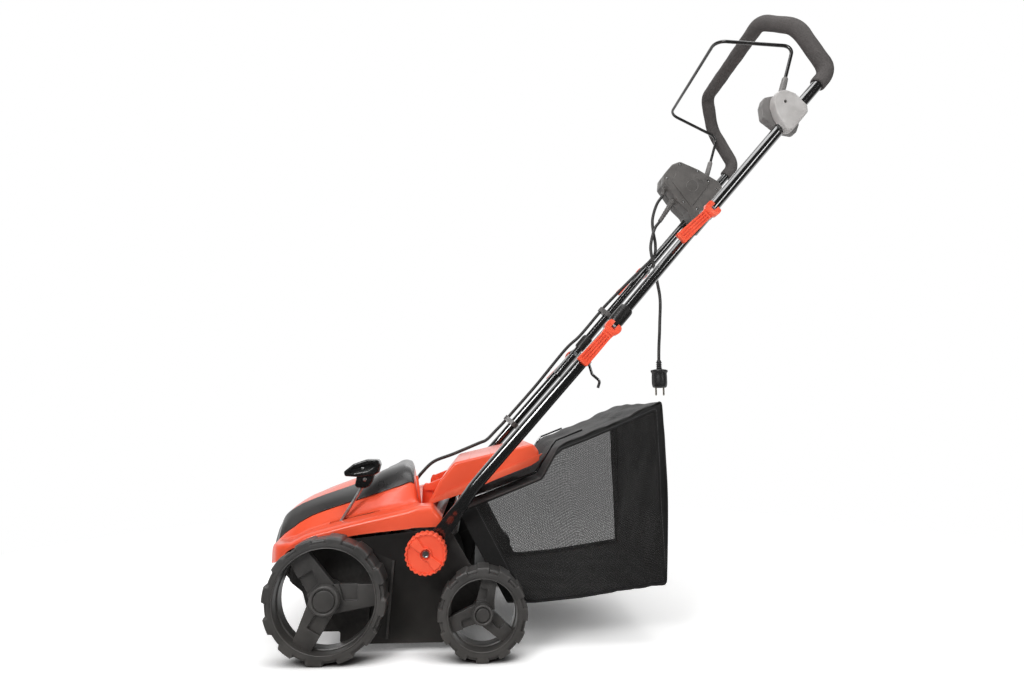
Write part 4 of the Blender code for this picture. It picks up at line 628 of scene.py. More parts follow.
# The rim is a closed profile turned round the hub. Each point is (radius, y, share of the drop, share of the
# inset): in a side pocket the tread drops and the side wall steps back.
def wheelRim(name, look):
    outer, inner, r, lip, ledge = (look[key] for key in ("outer", "inner", "radius", "lip", "ledge"))
    profile = np.array([
        (lip + 0.0015, inner, 0, 0), (r - 0.004, inner, 0, 0), (r - 0.001, inner + 0.0012, 1, 0),
        (r, inner + 0.003, 1, 0), (r, inner + 0.012, 1, 0), (r, outer - 0.012, 1, 0), (r, outer - 0.003, 1, 1),
        (r - 0.0006, outer - 0.0014, 1, 1), (r - 0.0018, outer - 0.0004, 1, 1), (r - 0.0035, outer, 1, 1),
        (ledge + 0.0012, outer, 0, 1), (ledge, outer, 0, 1),
        (ledge - 0.0006, outer, 0, 0), (ledge - 0.002, outer + 0.0002, 0, 0), (lip + 0.0034, outer, 0, 0),
        (lip + 0.0022, outer - 0.0006, 0, 0), (lip + 0.0018, outer + 0.0005, 0, 0),
        (lip + 0.001, outer + 0.0008, 0, 0),
        (lip + 0.0003, outer + 0.0002, 0, 0), (lip, outer - 0.0012, 0, 0), (lip - 0.0003, outer - 0.01, 0, 0),
        (lip - 0.0005, outer - 0.0215, 0, 0), (lip - 0.0022, outer - 0.0225, 0, 0), (lip - 0.0026, inner + 0.002, 0, 0),
        (lip - 0.0016, inner + 0.0004, 0, 0)])
    angles = np.arange(look["steps"]) / look["steps"] * 360
    share = pocketShare(angles, look)[:, None]
    radius = profile[:, 0] - look["drop"] * share * profile[:, 2]
    y = profile[:, 1] - look["inset"] * share * profile[:, 3]
    t = np.radians(angles)[:, None]
    grid = np.stack([look["centre"][0] + radius * np.cos(t), -y, look["centre"][1] + radius * np.sin(t)], -1)
    return gridObject(name, grid, closeRows=True, closeColumns=True, angle=30)


# One spoke: a thick plate from hub to rim with an open pocket sunk into its face.
def wheelSpoke(name, look, angle):
    face = -look["outer"] + look["spokeFace"]
    arm = turned(softCorners(look["arm"], 0.003, 4), look["centre"], angle)
    spoke = plate(name, arm, face, face + look["spokeThick"])
    pocket = softCorners(look["recess"], [0.003, 0.003, 0, 0], 4)
    cutOut(spoke, plate("pocket", turned(pocket, look["centre"], angle), face - 0.004, face + look["recessDepth"]))
    return roundEdges(spoke, 0.0007, 3)


def wheelPiece(name, look):
    y = -look["outer"]
    hub = look["hub"]
    barrel = lathe(name + "Hub", look["centre"], [
        (0, y + 0.0145), (hub - 0.0045, y + 0.0145), (hub - 0.0045, y + 0.0074), (hub - 0.0008, y + 0.0074),
        (hub, y + 0.0082), (hub + 0.0004, y + 0.03), (hub + 0.0008, -look["inner"] - 0.001), (hub, -look["inner"]),
        (0, -look["inner"])], 72)
    spokes = [wheelSpoke(name + "Spoke", look, angle) for angle in look["spokes"]]
    return joined(name, wheelRim(name + "Rim", look), barrel, *spokes)


anyWheel = {"outer": 0.2495, "inner": 0.2052, "blocks": 12, "pocket": 14.3, "steps": 288, "spokeFace": 0.0125,
            "spokeThick": 0.013, "recessDepth": 0.006}
frontWheel = {
    **anyWheel, "centre": (0.0, 0.1), "radius": 0.1, "lip": 0.0822, "ledge": 0.0915, "hub": 0.0243, "pocketAt": 8,
    "drop": 0.0034, "inset": 0.0042, "spokes": (0, 120, 240),
    "arm": [(0.008, -0.024), (0.0845, -0.01), (0.0845, 0.0229), (0.008, 0.0229)],
    "recess": [(0.029, -0.0025), (0.052, -0.0025), (0.052, 0.0245), (0.0205, 0.0245)]}
rearWheel = {
    **anyWheel, "centre": (0.2575, 0.0745), "radius": 0.0745, "lip": 0.0561, "ledge": 0.0665, "hub": 0.0168,
    "pocketAt": 15, "drop": 0.0026, "inset": 0.0036, "spokes": (80, 200, 319),
    "arm": [(0.006, -0.0165), (0.058, -0.0132), (0.058, 0.0114), (0.006, 0.0142)],
    "recess": [(0.0205, -0.0015), (0.0385, -0.0015), (0.0385, 0.016), (0.0165, 0.016)]}
frontCap = [(0, 0.001), (0.0155, 0.0008), (0.0166, 0.0012), (0.017, 0.0022), (0.0174, 0.0034), (0.0182, 0.0034),
            (0.0187, 0.002), (0.0196, 0.0008), (0.0212, 0.0004), (0.0228, 0.001), (0.024, 0.0022), (0.0245, 0.0036),
            (0.0245, 0.007), (0.015, 0.007), (0.015, 0.0144), (0, 0.0144)]
rearCap = [(0, 0.0008), (0.0098, 0.0006), (0.0106, 0.001), (0.0109, 0.0022), (0.011, 0.0034), (0.012, 0.0034),
           (0.0124, 0.0018), (0.0134, 0.0006), (0.0148, 0.0004), (0.016, 0.0012), (0.0168, 0.0026), (0.017, 0.004),
           (0.017, 0.007), (0.0104, 0.007), (0.0104, 0.0144), (0, 0.0144)]
for title, look, cap in (("front", frontWheel, frontCap), ("rear", rearWheel, rearCap)):
    wheel = wheelPiece(title + "WheelNear", look)
    hubCap = lathe(title + "CapNear", look["centre"], np.subtract(cap, (0, 0.25)), 96, angle=50)
    for piece, part in ((wheel, "_wheel_side"), (hubCap, "_hub_cap_side")):
        fitBoth(piece, "wheelGrey", "dark_plastic", title + "_wheel_side", title + part)
print("wheels")

# Stations of the hood from nose to rear: x, side edge z, ledge outer z, ledge inner z, band lower (y, z),
# band upper (y, z), crown z, half width of the side and of the ledge.
hood = {
    "stations": [
        (-0.129, 0.14, 0.1405, 0.141, 0.099, 0.1415, 0.085, 0.142, 0.1425, 0.101, 0.1),
        (-0.1285, 0.14, 0.142, 0.143, 0.106, 0.145, 0.088, 0.16, 0.164, 0.11, 0.108),
        (-0.125, 0.14, 0.143, 0.144, 0.118, 0.147, 0.092, 0.186, 0.193, 0.123, 0.121),
        (-0.119, 0.141, 0.146, 0.1475, 0.124, 0.15, 0.095, 0.2, 0.208, 0.141, 0.137),
        (-0.114, 0.142, 0.169, 0.171, 0.127, 0.173, 0.097, 0.211, 0.219, 0.16, 0.155),
        (-0.1085, 0.144, 0.175, 0.1775, 0.128, 0.1805, 0.099, 0.218, 0.226, 0.17, 0.166),
        (-0.1, 0.148, 0.176, 0.179, 0.129, 0.1885, 0.1, 0.225, 0.233, 0.181, 0.177),
        (-0.085, 0.16, 0.1795, 0.183, 0.129, 0.2, 0.099, 0.234, 0.2415, 0.191, 0.186),
        (-0.074, 0.17, 0.182, 0.186, 0.129, 0.2085, 0.098, 0.239, 0.246, 0.195, 0.188),
        (-0.048, 0.18, 0.1945, 0.1985, 0.128, 0.222, 0.094, 0.249, 0.257, 0.196, 0.189),
        (0.0, 0.187, 0.2075, 0.212, 0.128, 0.2385, 0.08, 0.265, 0.2745, 0.196, 0.189),
        (0.03, 0.1925, 0.215, 0.22, 0.128, 0.2475, 0.053, 0.276, 0.282, 0.196, 0.189),
        (0.05, 0.1955, 0.2195, 0.224, 0.127, 0.2535, 0.026, 0.285, 0.2872, 0.196, 0.189),
        (0.06, 0.1965, 0.222, 0.2265, 0.126, 0.257, 0.01, 0.2915, 0.2925, 0.196, 0.189),
        (0.078, 0.1985, 0.2255, 0.23, 0.125, 0.2635, 0.004, 0.2985, 0.299, 0.196, 0.189),
        (0.105, 0.201, 0.2315, 0.235, 0.123, 0.2725, 0.004, 0.306, 0.3062, 0.196, 0.189),
        (0.118, 0.2025, 0.2345, 0.2375, 0.121, 0.277, 0.004, 0.305, 0.3052, 0.196, 0.189),
        (0.124, 0.203, 0.236, 0.239, 0.12, 0.2775, 0.004, 0.3, 0.3, 0.196, 0.189),
        (0.129, 0.2035, 0.2375, 0.24, 0.12, 0.272, 0.004, 0.285, 0.285, 0.196, 0.189),
        (0.133, 0.2045, 0.239, 0.241, 0.12, 0.258, 0.004, 0.265, 0.265, 0.196, 0.189),
        (0.137, 0.205, 0.24, 0.242, 0.122, 0.2425, 0.004, 0.243, 0.243, 0.196, 0.189),
        (0.145, 0.2055, 0.2415, 0.243, 0.15, 0.233, 0.004, 0.232, 0.232, 0.196, 0.189),
        (0.165, 0.206, 0.2415, 0.243, 0.15, 0.232, 0.004, 0.232, 0.232, 0.196, 0.189),
        (0.174, 0.2065, 0.2335, 0.235, 0.15, 0.229, 0.004, 0.228, 0.228, 0.195, 0.188),
        (0.185, 0.2068, 0.22, 0.2215, 0.15, 0.22, 0.004, 0.22, 0.22, 0.194, 0.187)],
    "rows": 220, "wall": 0.0025, "step": 0.0026, "coverFrom": -0.1291, "coverTo": 0.128, "closedBelow": 0.008,
    "squareOver": (0.02, 0.09), "square": 7, "skew": 0.024, "skewFrom": (0.06, 0.11), "skewTo": (0.139, 0.147),
    "steps": (8, 5, 16, 12), "bandSteps": 28, "crownSteps": 14, "gap": 0.0008, "swell": 0.1, "shelf": 0.3,
    "coverWall": 0.0022, "coverLift": 0.0004}


# Half section at each station as a chain of corner points, then straight, even steps between them. The band
# between its two edges swells outward as a sine, and towards the rear it rises steeply and then lies flat.
def hoodSurface(look):
    rows = smoothRoute(look["stations"], look["rows"])
    x, edge, outer, inner, y3, z3, y4, z4, crown, side, ledge = rows.T
    start = y3 + look["shelf"] * (ledge - y3)
    corners = [(side, edge), (side, outer - np.minimum(0.005, (outer - edge) * 0.4)), (ledge, outer), (start, inner),
               (y3 + look["gap"], z3)]
    half = []
    for a, b, steps in zip(corners[:-1], corners[1:], look["steps"]):
        t = np.linspace(0, 1, steps, endpoint=False)[:, None]
        half.append(np.stack([a[0] + (b[0] - a[0]) * t, a[1] + (b[1] - a[1]) * t], -1))
    t = np.linspace(0, 1, look["bandSteps"])[:, None]
    square = smoothStep(x, *look["squareOver"])
    swell = np.sin(math.pi * t) * look["swell"] * (y3 - y4) * (1 - square)
    t = t ** (1 + square)
    lift = 1 - (1 - t) ** (1 + (look["square"] - 1) * square)
    half.append(np.stack([y3 + (y4 - y3) * t + swell, z3 + (z4 - z3) * lift + swell * 0.55], -1))
    t = np.linspace(0, 1, look["crownSteps"])[:, None]
    half.append(np.stack([(y4 - look["gap"]) * (1 - t), z4 + (crown - z4) * np.sin(t * math.pi / 2)], -1))
    half = np.concatenate(half)
    bandStart, bandEnd = sum(look["steps"]), sum(look["steps"]) + look["bandSteps"] - 1
    full = np.concatenate([half * [-1, 1], half[-2::-1]])
    lean = smoothStep(x, *look["skewFrom"]) * (1 - smoothStep(x, *look["skewTo"]))
    lean = lean * np.clip((full[..., 0] + 0.12) / 0.24, 0, 1)
    grid = np.stack([x - look["skew"] * lean, full[..., 0], full[..., 1]], -1).transpose(1, 0, 2).copy()
    for _ in range(3):
        grid[:, 1:-1] = grid[:, 1:-1] * 0.5 + (grid[:, :-2] + grid[:, 2:]) * 0.25
    count = grid.shape[1]
    column = np.minimum(np.arange(count), count - 1 - np.arange(count))
    closed = (y4 < look["closedBelow"])[:, None]
    along = (x > look["coverFrom"]) & (x < look["coverTo"])
    band = along[:, None] & (column >= bandStart) & ((column <= bandEnd) | closed)
    return grid, band


def gridNormals(grid):
    down, over = np.gradient(grid, axis=0), np.gradient(grid, axis=1)
    normal = np.cross(down, over)
    return normal / np.maximum(np.linalg.norm(normal, axis=2, keepdims=True), 1e-12)


def thickened(obj, wall):
    modifier = obj.modifiers.new("wall", "SOLIDIFY")
    modifier.thickness = wall
    modifier.offset = -1
    modifier.use_even_offset = True
    modifier.thickness_clamp = 1.0
    return settled(obj)


def faceOutward(obj, middle):
    mesh = obj.data
    at = np.zeros(3 * len(mesh.polygons))
    way = at.copy()
    mesh.polygons.foreach_get("center", at)
    mesh.polygons.foreach_get("normal", way)
    if ((at.reshape(-1, 3) - shift - middle) * way.reshape(-1, 3)).sum() < 0:
        mesh.flip_normals()
    return obj


hoodGrid, bandMask = hoodSurface(hood)
hoodNormals = gridNormals(hoodGrid)
if hoodNormals[hood["rows"] // 2, hoodGrid.shape[1] // 2, 2] < 0:
    hoodNormals = -hoodNormals
sunk = hoodGrid - hoodNormals * bandMask[..., None] * hood["step"]
hoodShell = faceOutward(gridObject("hoodShell", sunk, angle=42), (0.02, 0, 0.1))
thickened(hoodShell, hood["wall"])
slotTool = plate("slotTool", softCorners(oblong(-0.018, 0.07, 0.17, 0.26), 0.001, 2), -0.1538, -0.1462)
cutOut(hoodShell, slotTool)
ear = softCorners([(0.141, 0.23), (0.163, 0.23), (0.16, 0.262), (0.153, 0.2715), (0.146, 0.2715), (0.142, 0.262)],
                  0.004, 5)
ears = [plate("ear", ear, y - 0.003, y + 0.003, 0.0008) for y in (-0.095, 0.095)]
fence = plate("fence", softCorners([(0.1308, 0.287), (0.1345, 0.287), (0.1418, 0.2345), (0.1375, 0.2345)], 0.001, 3),
              -0.12, -0.112, 0.0009)
hoodShell = joined("hoodShell", hoodShell, fence, *ears)
fit(hoodShell, "orangeGloss", "orange_plastic", "chassis", "top_cover")

quads = np.array(gridFaces(*hoodGrid.shape[:2]))
inside = bandMask[:-1, :-1] & bandMask[1:, :-1] & bandMask[:-1, 1:] & bandMask[1:, 1:]
coverFaces = quads[inside.reshape(-1)]
used, coverFaces = np.unique(coverFaces, return_inverse=True)
coverPoints = hoodGrid.reshape(-1, 3)[used] + hoodNormals.reshape(-1, 3)[used] * hood["coverLift"]
motorCover = meshObject("motorCover", coverPoints, coverFaces.reshape(-1, 4).tolist(), 42)
faceOutward(motorCover, (0.02, 0, 0.1))
thickened(motorCover, hood["coverWall"])
roundEdges(motorCover, 0.0007, 2, 50)
fit(motorCover, "bandBlack", "dark_plastic", "chassis", "motor_cover")
print("hood")

# The rear flap is a deep pressed lid: its outline in side view carried across, hollow below, with rounded
# shoulders, a bead along each side and two hinge arms.
flap = {"outline": [(0.157, 0.2405), (0.1796, 0.2838), (0.204, 0.314), (0.349, 0.348), (0.36, 0.3345),
                    (0.36, 0.318), (0.346, 0.3095), (0.28, 0.284), (0.2242, 0.2602)],
        "soft": [0, 0.02, 0.014, 0.008, 0.008, 0.006, 0.02, 0.02, 0.02],
        "room": [(0.15, 0.22), (0.164, 0.247), (0.184, 0.283), (0.207, 0.3105), (0.343, 0.343), (0.3475, 0.343),
                 (0.356, 0.333), (0.356, 0.32), (0.37, 0.25)],
        "half": 0.1555}
lid = plate("rearFlap", softCorners(flap["outline"], flap["soft"], 6), -flap["half"], flap["half"])
roundEdges(lid, 0.0055, 6, 50)
cutOut(lid, plate("room", softCorners(flap["room"], 0.004, 5), -flap["half"] + 0.003, flap["half"] - 0.003))
flapParts = [lid]
bead = softCorners([(0.16, 0.2466), (0.1987, 0.2658), (0.2477, 0.2852), (0.329, 0.316), (0.3655, 0.33),
                    (0.367, 0.3312), (0.361, 0.324), (0.3605, 0.3175), (0.346, 0.3085), (0.28, 0.283),
                    (0.2242, 0.2592), (0.157, 0.2392)], 0.003, 3)
arm = softCorners([(0.145, 0.26), (0.156, 0.2585), (0.176, 0.26), (0.183, 0.283), (0.152, 0.271), (0.1455, 0.2685)],
                  0.003, 4)
pinProfile = [(0, 0.0915), (0.0026, 0.0915), (0.003, 0.092), (0.003, 0.1), (0, 0.1)]
for side in (-1, 1):
    beadSpan = sorted((side * (flap["half"] - 0.0015), side * (flap["half"] + 0.0016)))
    armSpan = sorted((side * 0.0985, side * 0.106))
    flapParts += [plate("bead", bead, *beadSpan, 0.0014), plate("arm", arm, *armSpan, 0.0008),
                  lathe("pin", (0.15, 0.265), np.multiply(pinProfile, (1, side)), 32)]
ribSection = np.array([(0, 0), (0.002, 0.0004), (0.002, 0.0012), (0, 0.0008)])
ribsAcross = [plate("rib", ribSection + place, -0.14, 0.14, 0.0003)
              for place in ((0.23, 0.32), (0.27, 0.3294), (0.31, 0.3388))]
rearFlap = joined("rearFlap", *flapParts, *ribsAcross)
fit(rearFlap, "orangeGloss", "orange_plastic", "flap", "rear_flap")


# A cross-head screw on a near face across y: pan head with a cross cut in it.
def screwHead(name, centre, radius, y):
    profile = [(0, y - 0.0012), (radius * 0.55, y - 0.0011), (radius * 0.85, y - 0.0007), (radius, y),
               (radius, y + 0.002), (0, y + 0.002)]
    head = lathe(name, centre, profile, 36)
    for tilt in (20, 110):
        bar = turned(oblong(-radius * 0.55, radius * 0.55, -0.0004, 0.0004), centre, tilt)
        cutOut(head, plate("cross", bar, y - 0.003, y - 0.0003))
    return head


# The depth lever's T grip: a bowed bar with a sunken oval panel on each side, on a flat tapering stem.
depthLever = {"bar": [(0.005, 0.2985), (0.0075, 0.2905), (0.0308, 0.289), (0.06, 0.292), (0.0665, 0.296),
                      (0.07, 0.311), (0.067, 0.32), (0.0443, 0.3201), (0.0222, 0.3124)],
              "panel": [(0.0125, 0.2962), (0.0198, 0.3046), (0.042, 0.311), (0.059, 0.3135), (0.0605, 0.3065),
                        (0.0475, 0.2985), (0.0241, 0.2945)],
              "stem": [(0.029, 0.295), (0.0252, 0.2735), (0.029, 0.27), (0.0427, 0.2685), (0.05, 0.2715),
                       (0.055, 0.2794), (0.06, 0.295)],
              "barSoft": [0.004, 0.004, 0.01, 0.005, 0.006, 0.006, 0.006, 0.012, 0.012],
              "y": -0.15, "half": 0.0125, "stemHalf": 0.0085, "sunk": 0.0045}
leverY = depthLever["y"]
grip = plate("leverGrip", softCorners(depthLever["bar"], depthLever["barSoft"], 6), leverY - depthLever["half"],
             leverY + depthLever["half"])
roundEdges(grip, 0.003, 5, 45)
stem = plate("leverStem", softCorners(depthLever["stem"], 0.004, 5), leverY - depthLever["stemHalf"],
             leverY + depthLever["stemHalf"], 0.002, 4)
for side in (-1, 1):
    face = leverY + side * depthLever["half"]
    low, high = sorted((face - side * depthLever["sunk"], face + side * 0.01))
    cutOut(grip, plate("panel", softCorners(depthLever["panel"], 0.003, 6), low, high))
leverGrip = joined("leverGrip", roundEdges(grip, 0.0006, 2, 45), stem)
fit(leverGrip, "gripBlack", "black_plastic", "depth_crank", "depth_grip")
leverScrews = joined("leverScrews", screwHead("gripScrew", (0.0383, 0.3043), 0.003, leverY - 0.008),
                     screwHead("stemScrew", (0.0429, 0.2845), 0.0034, leverY - 0.0086))
fit(leverScrews, "screwSteel", "zinc_steel", "depth_crank")
print("flap and depth lever")

knob = {"centre": (0.162, 0.17), "radius": 0.035, "scallops": 24, "scallop": 0.0017, "outer": 0.245, "back": 0.2175,
        "dish": 0.005, "bar": 135, "barHub": 0.005, "barRim": 0.0078, "bore": 0.0045, "wellRadius": 0.0092,
        "wellDeep": 0.0055, "socketDeep": 0.0095, "faceTo": 0.032, "roll": 0.0026}


# Face of the knob as a height over (radius, angle): a raised rim, dished quarters and a bow-tie bar that is
# widest at the rim. The edge wanders in and out as a cosine with one wave to each scallop.
def knobPiece(name, look):
    count = 360
    a = np.arange(count) / count * turn
    wave = look["radius"] - look["scallop"] * (0.5 - 0.5 * np.cos(a * look["scallops"])) ** 1.6
    inward = np.linspace(look["wellRadius"], look["faceTo"], 60) / look["radius"]
    s = np.append(inward, [0.93, 0.95, 0.965, 0.978, 0.988, 0.995, 1.0])
    r = wave[:, None] * s
    x, z = r * np.cos(a)[:, None], r * np.sin(a)[:, None]
    b = math.radians(look["bar"])
    along, across = x * math.cos(b) + z * math.sin(b), np.abs(-x * math.sin(b) + z * math.cos(b))
    halfBar = look["barHub"] + (look["barRim"] - look["barHub"]) * smoothStep(np.abs(along), 0.006, 0.03)
    bar = 1 - smoothStep(across, halfBar - 0.0006, halfBar + 0.0012)
    hub = 1 - smoothStep(r, 0.0098, 0.0108)
    rim = smoothStep(s, 0.88, 0.92)
    high = np.maximum(np.maximum(bar * (1 - smoothStep(s, 0.86, 0.93)), hub), rim * 0.72)
    roll = look["roll"] * smoothStep(s, 0.94, 1.0) ** 2
    face = look["outer"] - look["dish"] * (1 - high) - roll
    flank = np.array([look["outer"] - 0.0075, look["outer"] - 0.012, look["back"] + 0.001, look["back"]])
    edge = wave[:, None] * np.array([1.0, 1.0, 0.995, 0.97])
    centre = look["centre"]
    front = np.stack([centre[0] + x, -face, centre[1] + z], -1)
    around = np.stack([centre[0] + edge * np.cos(a)[:, None], np.broadcast_to(-flank, edge.shape),
                       centre[1] + edge * np.sin(a)[:, None]], -1)

    def ringAt(radius, y):
        circle = [centre[0] + radius * np.cos(a), np.full(count, y), centre[1] + radius * np.sin(a)]
        return np.stack(circle, -1)[:, None]

    well, socket = look["wellDeep"] - look["outer"], look["socketDeep"] - look["back"]
    bore = look["bore"]
    grid = np.concatenate([ringAt(bore, well), ringAt(look["wellRadius"], well), front, around,
                           ringAt(0.014, -look["back"]), ringAt(0.0135, socket), ringAt(bore, socket)], 1)
    return gridObject(name, grid, closeRows=True, closeColumns=True, angle=34)


fitBoth(knobPiece("knobNear", knob), "orangeSatin", "orange_plastic", "handle_knob_side", "handle_knob_side")

# The bolt in the knob's hub ends in a small round head, hollow in the middle.
boltProfile = [(0, -0.2408), (0.0034, -0.2408), (0.004, -0.2424), (0.0052, -0.2428), (0.006, -0.242),
               (0.0062, -0.2395), (0.004, -0.239), (0.004, -0.2), (0, -0.2)]
boltHead = lathe("knobBoltNear", knob["centre"], boltProfile, 48)
fitBoth(boltHead, "screwSteel", "zinc_steel", "chassis", "knob_bolt_side")
print("knobs")

tubes = {"lower": 0.011, "middle": 0.01, "upper": 0.011, "lowerY": 0.22, "middleY": 0.198, "press": 0.002,
         "flat": (0.013, 0.019), "lowerBolt": (0.486, 0.555), "upperBolt": (0.676, 0.777), "ring": 48,
         "slabHalf": 0.0031, "slabWide": 0.0135, "middleBelow": 0.068, "middleAbove": 0.013}
lowerBolt, upperBolt = np.array(tubes["lowerBolt"]), np.array(tubes["upperBolt"])


# Share of the pressed flat at each offset from a bolt along its tube.
def pressed(offset):
    return 1 - smoothStep(np.abs(offset), *tubes["flat"])


# Tube section with its inner or outer side pressed flat: the ring's y offset stops at the flat.
def pressedRing(radius, share, side):
    ring = circlePoints(tubes["ring"]) * radius
    section = np.repeat(ring[None], len(share), 0)
    limit = radius - tubes["press"] * share[:, None]
    section[..., 0] = np.minimum(section[..., 0] * side, limit) * side
    return section


# Lower tube: x, z, distance from the middle plane and how flat it is. The flat end is a thin slab round the
# knob bolt, and each ring blends from the circle to that slab.
lowerStations = [(0.1502, 0.1555, 0.2024, 1.0), (0.162, 0.17, 0.2024, 1.0), (0.185, 0.198, 0.2024, 1.0),
                 (0.197, 0.2128, 0.203, 0.94), (0.208, 0.2282, 0.2066, 0.66), (0.219, 0.244, 0.2122, 0.3),
                 (0.233, 0.2645, 0.2184, 0.06), (0.25, 0.287, 0.22, 0.0), (0.327, 0.3745, 0.22, 0.0),
                 (0.4, 0.4577, 0.22, 0.0), (0.4943, 0.5643, 0.22, 0.0)]
lowerRows = smoothRoute(lowerStations, 200)
lowerPath = np.stack([lowerRows[:, 0], -lowerRows[:, 2], lowerRows[:, 1]], 1)
toBolt = np.linalg.norm(lowerRows[:, :2] - lowerBolt, axis=1)
ring = pressedRing(tubes["lower"], pressed(toBolt), 1)
flatShare = np.clip(lowerRows[:, 3], 0, 1)[:, None]
ratio = ring[..., 0] / tubes["lower"]
slab = np.sign(ratio) * np.abs(ratio) ** 0.35 * tubes["slabHalf"]
ring = np.stack([ring[..., 0] + (slab - ring[..., 0]) * flatShare,
                 ring[..., 1] * (1 + (tubes["slabWide"] / tubes["lower"] - 1) * flatShare)], -1)
lowerTube = sweep("lowerTubeNear", lowerPath, section=ring)
fitBoth(lowerTube, "glossPaint", "black_paint", "lower_handle", "lower_tube_side")

middleWay = (upperBolt - lowerBolt) / np.linalg.norm(upperBolt - lowerBolt)
middleSpan = float(np.linalg.norm(upperBolt - lowerBolt))
offsets = np.linspace(-tubes["middleBelow"], middleSpan + tubes["middleAbove"], 160)
middlePath = np.insert(lowerBolt + middleWay * offsets[:, None], 1, -tubes["middleY"], 1)
ring = pressedRing(tubes["middle"], np.maximum(pressed(offsets), pressed(offsets - middleSpan)), -1)
middleTube = sweep("middleTubeNear", middlePath, section=ring)
fitBoth(middleTube, "glossPaint", "black_paint", "middle_handle", "middle_tube_side")

# The near half of the U handle, which bentTube mirrors. bends are the radii at its corners.
handle = {"half": [(0.644, -0.22, 0.74), (0.93, -0.22, 1.071), (0.874, -0.216, 1.168), (0.835, -0.148, 1.224)],
          "bends": [0, 0.03, 0.06, 0.05], "foamFrom": 0.398, "foam": 0.0155}


def bentTube(half, bends, steps):
    corners = half + [(x, -y, z) for x, y, z in reversed(half)]
    return evenly(softCorners(corners, bends + bends[::-1], steps, closed=False), 420)


upperPath = bentTube(handle["half"], handle["bends"], 14)
upperSpot = np.array([upperBolt[0], -tubes["lowerY"], upperBolt[1]])
nearBolt = np.linalg.norm(upperPath - upperSpot, axis=1)
farBolt = np.linalg.norm(upperPath - upperSpot * [1, -1, 1], axis=1)


# Ring turned so that its first arm always points to the far side of the machine, however the tube bends.
def inwardRing(path, radius, share):
    _, side, up = pathFrames(path)
    ring = circlePoints(tubes["ring"]) * radius
    points = ring[None, :, :1] * side[:, None] + ring[None, :, 1:] * up[:, None]
    inward = np.sign(path[:, 1])[:, None] * -1
    depth = points[..., 1] * inward
    over = np.maximum(depth - (radius - tubes["press"] * share[:, None]), 0)
    points[..., 1] -= over * inward * (share[:, None] > 0)
    return path[:, None] + points


upperGrid = inwardRing(upperPath, tubes["upper"], np.maximum(pressed(nearBolt), pressed(farBolt)))
upperHandle = gridObject("upperHandle", upperGrid, closeColumns=True, caps=True, angle=50)
fit(upperHandle, "glossPaint", "black_paint", "upper_section", "upper_handle")

goals = np.linspace(handle["foamFrom"], lengthsOf(upperPath)[-1] - handle["foamFrom"], 330)
foamPath = pointsAt(upperPath, goals)
fromEnd = np.minimum(goals - goals[0], goals[-1] - goals)
bulge = 0.00025 * np.sin(goals * 61) + 0.00018 * np.sin(goals * 143 + 1)
foamRadius = handle["foam"] - 0.0022 * (1 - smoothStep(fromEnd, 0, 0.003)) + bulge * smoothStep(fromEnd, 0.004, 0.03)
foamGrip = sweep("foamGrip", foamPath, foamRadius, 56)
fit(foamGrip, "foam", "foam", "upper_section", "foam_grip")

# Moulded collar round the middle tube: it swells towards its middle and is deeper on the inner side.
collarLook = {"radius": 0.0107, "inward": 1.26, "tall": 1.31}
s = np.array([0.0185, 0.0195, 0.0215, 0.026, 0.038, 0.049, 0.0535, 0.0552, 0.056])
swell = np.array([0.8, 0.9, 0.97, 1.0, 1.0, 1.0, 0.95, 0.88, 0.8])
collarPath = np.insert(lowerBolt + middleWay * s[:, None], 1, -tubes["middleY"], 1)
section = np.repeat(circlePoints(tubes["ring"])[None] * collarLook["radius"], len(s), 0)
section[..., 0] *= np.where(section[..., 0] > 0, collarLook["inward"], 1.0)
section[..., 1] *= collarLook["tall"] * swell[:, None]
collar = sweep("collarNear", collarPath, section=section, angle=34)
fitBoth(collar, "boxBlack", "black_plastic", "middle_handle", "tube_collar_side")
print("tubes and foam")

cam = {"y": 0.2408, "roll": 0.0095, "disc": 0.0145, "long": 0.0868, "slotHalf": 0.004,
       "grooves": (-0.0052, 0.0, 0.0052), "grooveHalf": 0.0013, "slopes": {
           "lower": (tubes["lowerBolt"], 227.8, "lower_handle"), "upper": (tubes["upperBolt"], 223.0, "upper_section")}}


